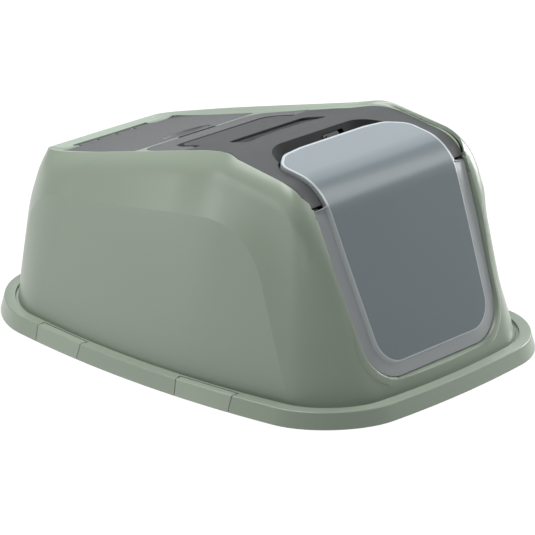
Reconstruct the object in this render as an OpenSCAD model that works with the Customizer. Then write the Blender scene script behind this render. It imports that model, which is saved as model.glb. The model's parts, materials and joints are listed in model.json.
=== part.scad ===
// Hooded cat litter box: a low pan under a tapered hood with a see-through
// entry flap, a lift-up rear lid, a folding carry handle, a vent grille and
// four snap clips. Front is -Y, left is -X, the floor is Z = 0.

/* [Base rim] */
// Length of the rim's flat ledge, front to back
rim_length = 568; // [520:1:610]
// Width of the rim's flat ledge at its widest
rim_width = 399; // [370:1:430]
// Height of the ledge above the floor
rim_height = 17.5; // [16:0.5:22]
// How far the skirt spreads from the ledge edge down to its foot
skirt_flare = 4.4; // [1:0.1:7]
// Width of the flat ledge
ledge_width = 12.5; // [10:0.5:16]
// Width of the groove between ledge and hood wall
groove_width = 3.5; // [2:0.5:6]
// Depth of that groove
groove_depth = 3; // [1:0.5:4]
// Gap between the skirt's foot and the floor
foot_gap = 0.6; // [0.4:0.1:1.5]

/* [Hood] */
// Wall thickness of the hood
wall = 2.8; // [2.2:0.1:3.4]
// Height of the dark top panels at the shoulder ridge
top_height = 240; // [225:1:255]
// Distance of the shoulder ridge behind the rim's front edge
shoulder_back = 211; // [195:1:225]
// Slope of the front face away from upright, in degrees
face_lean = 21.7; // [18:0.1:25]
// Rise of the top from the front bend to the shoulder, in degrees
front_rise = 9.5; // [6:0.1:12]
// Fall of the top from the shoulder to the back, in degrees
rear_fall = 12.9; // [10:0.1:15]
// Bend radius between front face and top
bend_radius = 53; // [40:1:60]
// Height of the hood's rounded crown above the dark panels
crown_rise = 3.7; // [2:0.1:5]
// Width of the crown beside the dark panel at the front
crown_band_front = 4.9; // [3:0.1:8]
// Width of the crown beside the dark panels behind the shoulder
crown_band_rear = 20; // [16:0.1:24]
// Distance of the crown's rear edge from the rim's rear edge
crown_rear_inset = 54; // [46:1:62]
// Depth of the arched field in each side wall
arch_depth = 0.9; // [0.4:0.1:1.4]

/* [Panels] */
// Half width of the dark panel at the front arms
panel_half_front = 122.5; // [119:0.1:125]
// Half width of the dark panels behind the shoulder
panel_half_rear = 97; // [92:0.1:102]
// Thickness of the panels and the lid
panel_t = 2.6; // [2:0.1:3.5]
// Gap between a moving piece and what surrounds it
gap = 0.8; // [0.6:0.1:1.2]
// Clearance under a piece that lies on another
seat = 0.3; // [0.2:0.05:0.5]
// Width of the green strip between carry handle and rear lid
strip_width = 4.7; // [3:0.1:7]
// Length of the rear lid
lid_length = 128; // [118:1:134]

/* [Entry flap] */
// Half width of the flap's flat border at the hinge
flap_half_top = 120; // [116:0.5:121]
// Half width of the flap's flat border near its foot
flap_half_foot = 106; // [100:0.5:110]
// Height of the flap's lower edge above the floor
flap_foot = 30; // [26:0.5:36]
// Corner radius of the flap's lower corners
flap_corner = 42; // [30:1:50]
// Width of the flat border beside the dome
flap_border = 17; // [14:0.5:20]
// Thickness of the flap
flap_t = 2.4; // [2:0.1:3]
// How far the dome stands above the border
dome_rise = 4; // [2.5:0.5:5.5]
// Drop from the shoulder ridge to the notch where the flap border meets the panel's arms
notch_drop = 36; // [32:0.5:42]
// Distance of the flap's top edge in front of the shoulder ridge
flap_top_front = 33; // [30:0.5:38]
// Depth of the pocket floor below the hood's wall at the flap
pocket_depth = 6.3; // [4:0.1:8]
// Pivot pin radius of the flap
flap_pin_r = 3; // [2.5:0.1:3.5]

/* [Carry handle] */
// Depth of the handle's grip bar, front to back
grip_depth = 30; // [26:1:34]
// Width of the slot between handle and panel tongue
handle_slot = 6; // [4:0.5:7]
// Width of each handle leg
leg_width = 19; // [15:0.5:22]
// Thickness of the handle
handle_t = 7; // [6:0.5:8]
// Length of the handle legs from pivot to the grip bar's rear edge
handle_reach = 64; // [58:1:70]
// Half width of the finger well under the grip bar
well_half = 30; // [26:1:34]
// Depth of the finger well below the lid's top
well_depth = 24; // [18:1:30]
// Pivot pin radius of the handle
handle_pin_r = 2.5; // [2:0.1:3]

/* [Litter pan] */
// Gap between the rim's edge and the top of the pan's wall
pan_inset = 38; // [37:1:44]
// How far the pan's wall leans in toward its floor
pan_draft = 8; // [6:1:12]
// Height of the pan wall at the back
pan_height = 92; // [80:1:98]
// Height of the pan wall under the entry flap
sill_height = 44; // [40:1:48]
// Wall thickness of the pan
pan_wall = 2.5; // [2:0.1:3]

/* [Clips] */
// Width of a snap clip
clip_width = 76; // [60:1:84]
// Distance of the clips in front of and behind the middle
clip_place = 108; // [100:1:116]
// Thickness of a clip
clip_t = 2.4; // [2:0.1:3]
// Radius of a clip's hinge pin
clip_pin_r = 1.2; // [1:0.1:1.3]

/* [Filter] */
// Half width of the crescent vent grille
grille_half = 62; // [55:1:68]
// Length of the grille, front to back at its ends
grille_length = 33; // [28:1:38]
// Radius of the vent holes
vent_r = 1.9; // [1.5:0.1:2.2]
// Spacing of the vent holes
vent_pitch = 7; // [6:0.5:9]
// Thickness of the carbon filter pad
pad_t = 6; // [4:0.5:8]

/* [Hidden] */

sage = [0.56, 0.62, 0.53];
dark = [0.30, 0.31, 0.32];
smoke = [0.45, 0.50, 0.54, 0.6];
carbon = [0.10, 0.10, 0.11];
steel = [0.62, 0.63, 0.65];

// ---- plan outlines -------------------------------------------------------

arc_steps = 4;
end_steps = 6;
side_share = [0.17, 0.34, 0.49, 0.59, 0.66, 0.73, 0.83, 0.93];
end_share = [for (j = [1 : end_steps - 1]) j / end_steps];
ring_count = 4 * arc_steps + 2 * end_steps + 2 * len(side_share) + 2;
ring_mirror = 2 * arc_steps + end_steps;
half_l = rim_length / 2;
half_w = rim_width / 2;
wall_inset = ledge_width + groove_width;
front_corner = 66;
rear_corner = 84;
side_bow = 36;
front_bow = 22;
rear_bow = 30;
plan_taper = 0.05;
notch_height = top_height - notch_drop;
crown_half_front = panel_half_front + crown_band_front;
crown_half_rear = panel_half_rear + crown_band_rear;

function reversed(p) = [for (i = [len(p) - 1 : -1 : 0]) p[i]];
function unit(v) = v / norm(v);
function smooth_step(a, b, x) = let (t = min(1, max(0, (x - a) / (b - a)))) t * t * (3 - 2 * t);

// Rounded rectangle in shares: x in -1..1, y from 0 at the front to 1 at the rear
function share_arc(sx, sy, a0, rx, ry) = [for (j = [0 : arc_steps])
    let (t = a0 + 90 * j / arc_steps)
    [sx * (1 - rx) + rx * cos(t), (sy > 0 ? 1 - ry : ry) + ry * sin(t)]];
function between(p, q, shares) = [for (f = shares) p + (q - p) * f];
function share_ring(front_x, front_y, rear_x, rear_y) =
    let (a = share_arc(1, 1, 0, rear_x, rear_y), b = share_arc(-1, 1, 90, rear_x, rear_y))
    let (c = share_arc(-1, -1, 180, front_x, front_y), d = share_arc(1, -1, 270, front_x, front_y))
    let (e = arc_steps, back = [for (f = reversed(side_share)) 1 - f])
    concat(a, between(a[e], b[0], end_share), b, between(b[e], c[0], side_share),
        c, between(c[e], d[0], end_share), d, between(d[e], a[0], back));

// Rim outline moved outward by off: a rounded rectangle with bowed sides
function rim_ring(off) =
    let (a = half_w + off, b = half_l + off, rf = front_corner + off, rr = rear_corner + off)
    let (w = a - side_bow, l = 2 * b - front_bow - rear_bow)
    [for (s = share_ring(rf / w, rf / l, rr / w, rr / l))
        let (x = s[0] * w, y = -(b - front_bow) + s[1] * l)
        [(x + side_bow * (1 - pow(y / b, 2)) * s[0]) * (1 - plan_taper * y / b),
         y < 0 ? y - front_bow * (1 - pow(x / a, 2)) * min(1, -y / (b - front_bow))
               : y + rear_bow * (1 - pow(x / a, 2)) * min(1, y / (b - rear_bow))]];
function rim_x(y) = (half_w - side_bow * pow(y / half_l, 2)) * (1 - plan_taper * y / half_l);

// ---- side profile of the face and the top --------------------------------

shoulder = [-half_l + shoulder_back, top_height];
shoulder_radius = 60;
face_dir = [sin(face_lean), cos(face_lean)];
rise_dir = [cos(front_rise), sin(front_rise)];
fall_dir = [cos(rear_fall), -sin(rear_fall)];
rise_n = [-rise_dir[1], rise_dir[0]];
face_foot = [-half_l + wall_inset + pocket_depth, rim_height];

function cross2(a, b) = a[0] * b[1] - a[1] * b[0];
bend_corner = shoulder - rise_dir * cross2(shoulder - face_foot, face_dir) / cross2(rise_dir, face_dir);
bend_turn = 90 - face_lean - front_rise;
bend_run = bend_radius * tan(bend_turn / 2);
bend_centre = bend_corner + rise_dir * bend_run - rise_n * bend_radius;
bend_steps = 8;
shoulder_run = shoulder_radius * tan((front_rise + rear_fall) / 2);
shoulder_centre = shoulder - rise_dir * shoulder_run - rise_n * shoulder_radius;

function face_y(z) = face_foot[0] + tan(face_lean) * (z - face_foot[1]);
function fall_z(y) = shoulder[1] - tan(rear_fall) * (y - shoulder[0]);
function rise_z(y) = shoulder[1] + tan(front_rise) * (y - shoulder[0]);
function arc_z(c, r, y) = c[1] + sqrt(max(0, r * r - pow(y - c[0], 2)));
// Height of the panels' surface at y, moved outward by off
function surface_z(y, off) =
    y < bend_centre[0] - (bend_radius + off) * sin(front_rise) ? arc_z(bend_centre, bend_radius + off, y)
    : y < shoulder_centre[0] - (shoulder_radius + off) * sin(front_rise) ? rise_z(y) + off / cos(front_rise)
    : y < shoulder_centre[0] + (shoulder_radius + off) * sin(rear_fall)
        ? arc_z(shoulder_centre, shoulder_radius + off, y)
    : fall_z(y) + off / cos(rear_fall);

// Profile moved outward by off, from below the face to well behind the hood
function profile(off) = concat(
    [face_foot - face_dir * 12 + off * [-cos(face_lean), sin(face_lean)]],
    [for (k = [0 : bend_steps])
        let (t = 90 - face_lean - bend_turn * k / bend_steps)
        bend_centre + (bend_radius + off) * [-sin(t), cos(t)]],
    [for (k = [0 : 3])
        let (t = -front_rise + (front_rise + rear_fall) * k / 3)
        shoulder_centre + (shoulder_radius + off) * [sin(t), cos(t)]],
    [shoulder + fall_dir * 330 + off * [sin(rear_fall), cos(rear_fall)]]);

module along_x(width) { rotate([90, 0, 90]) linear_extrude(width, center = true) children(); }
module band(low, high, width = 2 * half_w) {
    along_x(width) polygon(concat(profile(high), reversed(profile(low))));
}
module upright(z0 = 60, z1 = 270) { translate([0, 0, z0]) linear_extrude(z1 - z0) children(); }
module forward(y0 = -half_l - 6, y1 = -half_l + 184) {
    translate([0, y1, 0]) rotate([90, 0, 0]) linear_extrude(y1 - y0) children();
}
module rod_x(r, x0, x1, n = 40) {
    translate([x0, 0, 0]) rotate([0, 90, 0]) cylinder(h = x1 - x0, r = r, $fn = n);
}

// Frame of the sloping top behind the shoulder: x, run down the slope, height
module on_top() { translate([0, shoulder[0], shoulder[1]]) rotate([-rear_fall, 0, 0]) children(); }
function top_run(y) = (y - shoulder[0]) / cos(rear_fall);
// Frame of the leaning face: x, run up the face, height above it
module on_face() { translate([0, face_foot[0], face_foot[1]]) rotate([90 - face_lean, 0, 0]) children(); }
function face_run(z) = (z - face_foot[1]) / cos(face_lean);

// Outline with a radius at each corner: [x, y, radius]
function corner_arc(a, b, c, r, steps) = r <= 0 ? [b] :
    let (u = unit(a - b), v = unit(c - b), half = acos(max(-1, min(1, u * v))) / 2)
    let (m = b + unit(u + v) * r / sin(half), p = b + u * r / tan(half), q = b + v * r / tan(half))
    let (a0 = atan2(p[1] - m[1], p[0] - m[0]), a1 = atan2(q[1] - m[1], q[0] - m[0]))
    let (d = a1 - a0, turn = d > 180 ? d - 360 : d < -180 ? d + 360 : d)
    [for (k = [0 : steps]) m + r * [cos(a0 + turn * k / steps), sin(a0 + turn * k / steps)]];
function outline(p, steps = 4) = [for (i = [0 : len(p) - 1])
    let (a = p[(i + len(p) - 1) % len(p)], b = p[i], c = p[(i + 1) % len(p)])
    each corner_arc([a[0], a[1]], [b[0], b[1]], [c[0], c[1]], b[2], steps)];
// Right half given from low to high y; the left half is its mirror image
function both(p) = concat(p, [for (q = reversed(p)) [-q[0], q[1], q[2]]]);
module shape(p, grow = 0) { offset(delta = grow) polygon(outline(both(p))); }

// Closed solid between two outlines of equal count
module loft(a, z0, b, z1) {
    n = len(a);
    polyhedron(points = concat([for (p = a) [p[0], p[1], z0]], [for (p = b) [p[0], p[1], z1]]),
        faces = concat([[for (i = [0 : n - 1]) i]], [[for (i = [n - 1 : -1 : 0]) n + i]],
            [for (i = [0 : n - 1]) let (j = (i + 1) % n) each [[i, n + i, j], [j, n + i, n + j]]]));
}

// ---- hood skin -----------------------------------------------------------

crown_front = face_y(notch_height) - 1;
crown_rear = half_l - crown_rear_inset;
crown_bow = 2;
rear_edge_lift = 3;
deck_rear = crown_rear - 13;

function crown_z(y) = surface_z(y, crown_rise)
    + rear_edge_lift * smooth_step(crown_rear - 50, crown_rear, y);
function blend_half(front, rear, slope, y) =
    rear - (y - shoulder[0]) * slope
    + (front - rear) * (1 - smooth_step(shoulder[0] - 20, shoulder[0] + 50, y));
function end_bow(s) = crown_bow * s[0] * s[0]
    * (s[1] > 0.5 ? -smooth_step(0.7, 1, s[1]) : 1 - smooth_step(0, 0.3, s[1]));
function crown_ring(off) = [for (s = share_ring(0.10, 0.05, 0.26, 0.30))
    let (y = crown_front - off + s[1] * (crown_rear - crown_front + 2 * off))
    let (x = s[0] * (blend_half(crown_half_front, crown_half_rear, 0.021, y) + off))
    [x, y + end_bow(s)]];
function deck_ring(off) = [for (s = share_ring(0.06, 0.05, 0.26, 0.26))
    let (y = crown_front + 2 - off + s[1] * (deck_rear - crown_front - 2 + 2 * off))
    [s[0] * (blend_half(panel_half_front + 1, panel_half_rear + 6, 0.045, y) + off), y + end_bow(s)]];

// Share of the way in, at height share v: side, front and rear walls differ
function wall_lean(v, side, front, rear) =
    let (k = side * 0.35 + front * 0.10 + rear * 0.775, p = side * 12.9 + front * 4 + rear * 1.5)
    (1 - k) * v + k * pow(v, p);
wall_rows = 7;
function wall_row(j, base, crown, z0, off) = [for (i = [0 : ring_count - 1])
    let (n = len(base), d = base[(i + 1) % n] - base[(i + n - 1) % n], m = unit([d[1], -d[0]]))
    let (side = m[0] * m[0], front = m[1] < 0 ? m[1] * m[1] : 0, rear = m[1] > 0 ? m[1] * m[1] : 0)
    let (v = sin(90 * j / wall_rows), h = wall_lean(v, side, front, rear))
    [base[i][0] + (crown[i][0] - base[i][0]) * h, base[i][1] + (crown[i][1] - base[i][1]) * h,
     z0 + (crown_z(crown[i][1]) + off - z0) * v]];
function flat_ring(ring, z) = [for (p = ring) [p[0], p[1], z]];

// Rows from the foot up; t = 0 is the outside, t = wall the inside
function rim_rows(t, foot) = [
    flat_ring(rim_ring(skirt_flare - t), foot),
    flat_ring(rim_ring(-t), rim_height - 1.2 - t / 2),
    flat_ring(rim_ring(-1.2 - t), rim_height - t)];
function hood_rows(t, foot, drop) =
    let (groove_z = rim_height - groove_depth - t)
    let (base = rim_ring(-wall_inset - t), crown = crown_ring(-t), deck = deck_ring(t / 2))
    concat(rim_rows(t, foot),
        [flat_ring(rim_ring(-ledge_width + t), rim_height - t),
         flat_ring(rim_ring(-ledge_width + t), groove_z)],
        [for (j = [0 : wall_rows]) wall_row(j, base, crown, groove_z, -t)],
        [[for (p = deck) [p[0], p[1], surface_z(p[1], -drop)]]]);

// Solid through rows of points, with a flat foot and a top that is straight across
module skin(rows) {
    n = ring_count;
    mid = ring_mirror / 2;
    top = (len(rows) - 1) * n;
    polyhedron(points = [for (r = rows) each r], convexity = 8, faces = concat(
        [[for (i = [0 : n - 1]) i]],
        [for (j = [0 : len(rows) - 2]) for (i = [0 : n - 1])
            let (a = j * n + i, b = j * n + (i + 1) % n)
            each [[a, a + n, b], [b, a + n, b + n]]],
        [for (t = [0 : n / 2 - 1])
            let (i = (mid - t + n) % n, k = (mid - t - 1 + n) % n)
            let (im = (ring_mirror - i + n) % n, km = (ring_mirror - k + n) % n)
            each (i == im ? [[top + i, top + k, top + km]]
                : k == km ? [[top + i, top + k, top + im]]
                : [[top + i, top + k, top + km], [top + i, top + km, top + im]])]));
}
module rim_solid(t, foot) {
    rows = rim_rows(t, foot);
    n = ring_count;
    polyhedron(points = [for (r = rows) each r], faces = concat(
        [[for (i = [0 : n - 1]) i]], [[for (i = [n - 1 : -1 : 0]) 2 * n + i]],
        [for (j = [0 : 1]) for (i = [0 : n - 1])
            let (a = j * n + i, b = j * n + (i + 1) % n)
            each [[a, a + n, b], [b, a + n, b + n]]]));
}

// ---- entry flap and its pocket -------------------------------------------

flap_axis = [face_y(notch_height) + 5, notch_height - 5];
flap_top = shoulder[0] - flap_top_front;
// Farthest the flap's upper edge reaches from its hinge line
flap_head = [flap_top, rise_z(flap_top) + dome_rise / cos(front_rise)];
flap_reach = norm(flap_head - flap_axis) + 0.2;
border_bend = notch_height - 56;
dome_half = flap_half_top - 18.2;
pocket_floor = flap_t + seat;

// Flat border seen from the front, right half from the foot up
border_face = [[flap_half_foot - 5, flap_foot, flap_corner + 5], [flap_half_top - 3.6, border_bend, 100],
    [flap_half_top, notch_height - 1, 0]];
lip_face = [[flap_half_foot + 4, flap_foot - 8.5, flap_corner + 10], [flap_half_top + 3, border_bend, 100],
    [flap_half_top + 2, notch_height + 6, 0]];
dome_foot = flap_foot + 12;
dome_face = [[flap_half_foot - flap_border - 1, dome_foot, flap_corner - 8],
    [dome_half - 3.5, border_bend + 5, 60], [dome_half, notch_height + 1, 30],
    [dome_half, top_height + 60, 0]];
// Tail of the dome seen from above
dome_plan = [[dome_half, -half_l - 16, 0], [dome_half, flap_top - 20, 20],
    [dome_half - 22, flap_top - 3.5, 30], [dome_half - 52, flap_top, 60]];
module face_shape(p, grow = 0) { forward() shape(p, grow); }
module dome_area(grow = 0) {
    intersection() {
        face_shape(dome_face, grow);
        upright() shape(dome_plan, grow);
    }
}
module flap_at() { translate([0, flap_axis[0], flap_axis[1]]) children(); }
module both_sides() {
    children();
    mirror([1, 0, 0]) children();
}

module flap_pocket() {
    intersection() {
        band(-pocket_floor, 0.02);
        face_shape(border_face, gap);
    }
    on_face() loft(
        outline(both([for (p = border_face) [p[0] + gap, face_run(p[1] - gap), p[2]]])), 0,
        outline(both([for (p = lip_face) [p[0], face_run(p[1]), p[2]]])), 9);
}

module entry_flap() {
    color(smoke) difference() {
        union() {
            intersection() {
                band(-flap_t, 0);
                face_shape(border_face);
            }
            intersection() {
                band(-flap_t, dome_rise);
                dome_area();
            }
            both_sides() flap_at() rod_x(4.4, flap_half_top - 11, flap_half_top);
            both_sides() flap_at() rod_x(flap_pin_r, flap_half_top - 2, flap_half_top + 14);
        }
        intersection() {
            band(-20, dome_rise - flap_t);
            dome_area(-flap_t);
        }
    }
}

// ---- front panel ---------------------------------------------------------

leg_outer = panel_half_rear + 3.2;
tongue_half = leg_outer - leg_width - 2.7 - handle_slot;
handle_axis_y = shoulder[0] + 89;
handle_run = top_run(handle_axis_y);
handle_end = handle_run + handle_reach + 3.6;
inner_run = handle_end - grip_depth;
panel_rear = shoulder[0] + inner_run * cos(rear_fall) - handle_slot;
arm_end = face_y(notch_height) - 0.3;
leg_front = handle_axis_y - handle_t / 2 - gap;
panel_plan = [[panel_half_front - 0.5, arm_end, 0], [panel_half_front + 1.5, shoulder[0] - 60, 40],
    [panel_half_front + 1.5, shoulder[0] - 22, 30], [panel_half_rear + 7, shoulder[0] + 32, 40],
    [panel_half_rear + 2.6, leg_front, 4], [tongue_half, leg_front, 0], [tongue_half, panel_rear - 14, 10],
    [tongue_half - 8, panel_rear, 12]];
scoop_half = dome_half - 9.3;
scoop_rear = shoulder[0] - 9;
scoop_rim = [[scoop_half + 1.5, shoulder[0] - 60, 0], [scoop_half, shoulder[0] - 37, 18],
    [scoop_half - 16, scoop_rear, 44]];
scoop_base = [[scoop_half - 8, shoulder[0] - 60, 0], [scoop_half - 9, shoulder[0] - 39, 14],
    [scoop_half - 26, scoop_rear - 13.5, 34]];
tube_half = scoop_half - 8.5;
scoop_level = top_height - 19;
grille_rear = shoulder[0] + 58;
grille_front = grille_rear - grille_length;
crescent = [[0.01, grille_front + 10, 0], [grille_half - 24, grille_front + 8, 90],
    [grille_half, grille_front, 4], [grille_half - 2, grille_rear, 8]];
module scoop(grow) {
    loft(outline(both([for (p = scoop_base) [p[0] + grow, p[1] + grow, p[2]]])), scoop_level,
        outline(both([for (p = scoop_rim) [p[0] + grow, p[1] + grow, p[2]]])), top_height);
}

// Room behind the dome's tail as it dips with the swinging flap
module tail_room() {
    intersection() {
        for (a = [0.7 : 0.7 : 5.6]) flap_at() rotate([-a, 0, 0]) translate([0, -flap_axis[0], -flap_axis[1]])
            intersection() {
                band(-30, dome_rise);
                dome_area(gap);
            }
        translate([-150, flap_axis[0] + 15, notch_height]) cube([300, 100, 80]);
    }
}
module front_panel() {
    color(dark) difference() {
        union() {
            intersection() {
                band(-panel_t, 0);
                upright() shape(panel_plan, -gap / 2);
            }
            intersection() {
                band(-40, -panel_t + 0.1);
                scoop(2.2);
            }
            intersection() {
                flap_at() rod_x(flap_reach + 3.1, -tube_half, tube_half, 120);
                translate([-tube_half, shoulder[0] - 44, scoop_level - 28]) cube([2 * tube_half, 60, 30]);
            }
        }
        intersection() {
            band(-30, 10);
            dome_area(gap);
        }
        tail_room();
        scoop(0);
        flap_at() rod_x(flap_reach + 0.9, -scoop_half, scoop_half, 120);
        flap_at() rod_x(7.6, -140, 140);
        upright() shape(crescent, 0.4);
        lock_slot();
    }
}

// ---- flap lock on the scoop ----------------------------------------------

lock_travel = 8;
lock_length = 24;
lock_place = [8, scoop_rear - 6.1, top_height - 10];
lock_lean = 54.6;
// The scoop's rear wall leans; the tab slides along it in a slot
module lock_frame() { translate(lock_place) rotate([lock_lean, 0, 0]) children(); }
module lock_slot() {
    lock_frame() translate([-gap, -3.4 - gap, -4])
        cube([lock_length + lock_travel + 2 * gap, 6.8 + 2 * gap, 8]);
}
module flap_lock() {
    color(dark) lock_frame() {
        translate([0, -3.4, -1.3]) cube([lock_length, 6.8, 2.5]);
        translate([4, -1.2, 1]) cube([lock_length - 8, 2.4, 2]);
        translate([0, -5.8, -2.4]) cube([lock_length, 11.6, 1.2]);
    }
}

// ---- filter --------------------------------------------------------------

grille_depth = 3;
grille_t = 1.6;
grille_floor = grille_depth + grille_t + seat;
pad_box = [108, 36];
pad_run = top_run(shoulder[0] + 36);
module filter_grille() {
    color(dark) difference() {
        intersection() {
            band(-grille_depth - grille_t, -grille_depth);
            upright() shape(crescent);
        }
        on_top() for (i = [-8 : 8]) for (j = [-3 : 3])
            if (abs(i) * vent_pitch < grille_half - 14)
                translate([(i + (j % 2 == 0 ? 0 : 0.5)) * vent_pitch, pad_run + j * vent_pitch * 0.75, -9])
                    cylinder(h = 8, r = vent_r, $fn = 6);
    }
}
module filter_pad() {
    pad_level = -grille_floor - wall - seat - pad_t;
    color(carbon) on_top() translate([-pad_box[0] / 2, pad_run - pad_box[1] / 2, pad_level])
        cube([pad_box[0], pad_box[1], pad_t]);
}
module filter_holder() {
    depth = pad_t + 2 * seat + 1.6;
    color(dark) on_top() translate([0, pad_run, -grille_floor - wall - seat - depth]) difference() {
        translate([-pad_box[0] / 2 - 2.2, -pad_box[1] / 2 - 2.2, 0])
            cube([pad_box[0] + 4.4, pad_box[1] + 4.4, depth]);
        translate([-pad_box[0] / 2 - 0.4, -pad_box[1] / 2 - 0.4, 1.6])
            cube([pad_box[0] + 0.8, pad_box[1] + 0.8, depth]);
        for (i = [-4 : 4]) translate([i * 12 - 5, -pad_box[1] / 2 + 3, -1]) cube([10, pad_box[1] - 6, 4]);
    }
}

// ---- carry handle --------------------------------------------------------

handle_outer = [[leg_outer, handle_run, 0], [leg_outer - 7, handle_run + 43, 60],
    [leg_outer - 12, handle_end, 22]];
handle_inner = [[leg_outer - leg_width - 3, handle_run - 20, 0],
    [leg_outer - leg_width - 5, handle_run + 22, 16], [leg_outer - leg_width - 12, inner_run, 12]];
module handle_axis() { on_top() translate([0, handle_run, -handle_t / 2]) children(); }
module carry_handle() {
    color(dark) {
        on_top() translate([0, 0, -handle_t]) linear_extrude(handle_t) difference() {
            shape(handle_outer);
            shape(handle_inner);
        }
        both_sides() handle_axis()
            rod_x(handle_t / 2 - 0.05, leg_outer - leg_width - 2.6, leg_outer - 0.05);
        both_sides() handle_axis() rod_x(handle_pin_r, leg_outer - 2, leg_outer + 8);
    }
}
module handle_pocket() {
    on_top() translate([0, 0, -handle_t - seat]) linear_extrude(40) shape(handle_outer, gap);
    handle_axis() translate([-leg_outer - gap, -handle_t / 2 - gap, -handle_t / 2 - seat])
        cube([2 * (leg_outer + gap), handle_t + gap, 40]);
}
module finger_well(grow) {
    on_top() translate([0, 0, -well_depth - grow]) linear_extrude(60) offset(delta = grow)
        polygon(outline([[well_half, inner_run + 3, 8], [well_half, lid_run + 2, 8],
            [-well_half, lid_run + 2, 8], [-well_half, inner_run + 3, 8]]));
}

// ---- rear lid ------------------------------------------------------------

lid_run = handle_end + strip_width + 2 * gap;
knuckle_r = 3.4;
rod_r = 1.5;
hinge_run = lid_run + lid_length;
lid_half = panel_half_rear - 1;
hatch_plan = [[lid_half - 14, lid_run + 10, 14], [lid_half - 21, hinge_run - 18, 30]];
knuckle_length = 25;
knuckle_pitch = 28.5;
hinge_half = 2 * knuckle_pitch + 4;
lid_plan = [[lid_half - 1, lid_run, 6], [lid_half - 8, hinge_run - 9, 7],
    [hinge_half - 2.5, hinge_run - 8.5, 2], [hinge_half - 4.5, hinge_run - 4, 2]];
module hinge_axis() { on_top() translate([0, hinge_run, -knuckle_r]) children(); }
dimple_r = 12;
module lid_dimple(grow) {
    translate([0, lid_run + dimple_r + 1.5, 0]) scale([3, 1, 0.5]) sphere(r = dimple_r + grow, $fn = 24);
}
module rear_lid() {
    color(dark) difference() {
        union() {
            on_top() translate([0, 0, -panel_t]) linear_extrude(panel_t) difference() {
                shape(lid_plan);
                translate([3 - hinge_half, hinge_run - 7]) square([2 * hinge_half - 6, 20]);
            }
            on_top() translate([0, 0, -panel_t - 4]) linear_extrude(5) difference() {
                shape(hatch_plan, -1.2);
                shape(hatch_plan, -3.4);
            }
            on_top() intersection() {
                lid_dimple(2.5);
                translate([-60, lid_run, -9]) cube([120, 40, 9 - 0.1]);
            }
            for (i = [-1.5 : 1.5]) hinge_axis() translate([i * knuckle_pitch, 0, 0]) {
                rod_x(knuckle_r, -knuckle_length / 2, knuckle_length / 2);
                translate([-knuckle_length / 2, -8, knuckle_r - panel_t])
                    cube([knuckle_length, 8, panel_t]);
            }
        }
        on_top() lid_dimple(0);
        hinge_axis() rod_x(rod_r + 0.06, -hinge_half - 9, hinge_half + 9);
    }
}
module lid_hinge_rod() { color(steel) hinge_axis() rod_x(rod_r, -hinge_half, hinge_half, 32); }
module lid_pocket() {
    on_top() translate([0, 0, -panel_t - seat]) linear_extrude(40) shape(lid_plan, gap);
    on_top() translate([9 - lid_half, hinge_run - 12, -panel_t - seat]) cube([2 * lid_half - 18, 4.6, 40]);
    on_top() lid_dimple(3.5);
    hinge_axis() translate([3.6 - hinge_half, -8, -knuckle_r - gap])
        cube([2 * hinge_half - 7.2, 8 + knuckle_r + gap + 2, 40]);
}
module lid_lugs() {
    hinge_axis() for (i = [-2 : 2]) translate([i * knuckle_pitch, 0, 0]) {
        rod_x(knuckle_r, -1.35, 1.35);
        translate([-1.35, -knuckle_r, -knuckle_r - 6]) cube([2.7, 2 * knuckle_r, knuckle_r + 6]);
    }
}

// ---- clips ---------------------------------------------------------------

clip_inboard = 9;
clip_knuckle = clip_pin_r + 0.9;
clip_axis_z = rim_height - clip_knuckle - 0.3;
// Frame of a clip: origin on its hinge line, x outward, y along the line
module on_clip(side, place) {
    turn = atan((rim_x(place + 30) - rim_x(place - 30)) / 60);
    scale([side, 1, 1]) translate([rim_x(place) - clip_inboard, place, 0]) rotate([0, 0, -turn]) children();
}
module clip_window(grow) {
    half = clip_width / 2 + grow;
    translate([15, 0, 0]) along_x(30)
        polygon([[-half, 30], [half, 30], [half - 3.5, -5], [-half + 3.5, -5]]);
}
module clip(side, place) {
    color(sage) {
        intersection() {
            difference() {
                rim_solid(0, foot_gap);
                rim_solid(clip_t, -1);
            }
            on_clip(side, place) clip_window(0);
        }
        intersection() {
            difference() {
                rim_solid(0, foot_gap);
                rim_solid(6, -1);
            }
            on_clip(side, place) translate([0, -20, 5.4]) cube([30, 40, 2.2]);
        }
        on_clip(side, place) translate([0, 0, clip_axis_z]) rotate([90, 0, 0]) {
            cylinder(h = clip_width, r = clip_knuckle, center = true, $fn = 24);
            cylinder(h = clip_width + 9, r = clip_pin_r, center = true, $fn = 24);
        }
    }
}
module clip_cut(side, place) {
    on_clip(side, place) {
        intersection() {
            clip_window(gap);
            translate([0, -60, -5]) cube([60, 120, 60]);
        }
        translate([0, 0, clip_axis_z]) rotate([90, 0, 0]) {
            cylinder(h = clip_width + 2 * gap, r = clip_knuckle + 0.5, center = true, $fn = 24);
            cylinder(h = clip_width + 10, r = clip_pin_r + 0.05, center = true, $fn = 24);
        }
        translate([-0.5, -clip_width / 2 - gap, clip_axis_z]) cube([4, clip_width + 2 * gap, 10]);
    }
}
module clip_boss(side, place) {
    lug_y = clip_width / 2 + gap + 3.4;
    on_clip(side, place) for (e = [-1, 1]) translate([-2.8, e * lug_y - 3.4, clip_axis_z - 2.6])
        cube([5.6, 6.8, 4.4]);
}

// ---- hood shell ----------------------------------------------------------

deck_drop = wall + panel_t + seat;
arch_field = [[-half_l + 82, rim_height - 4.5, 0], [half_l - 44, rim_height - 4.5, 0],
    [half_l - 78, top_height - 97.5, 62], [shoulder[0] - 56.5, top_height - 51, 80]];
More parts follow.
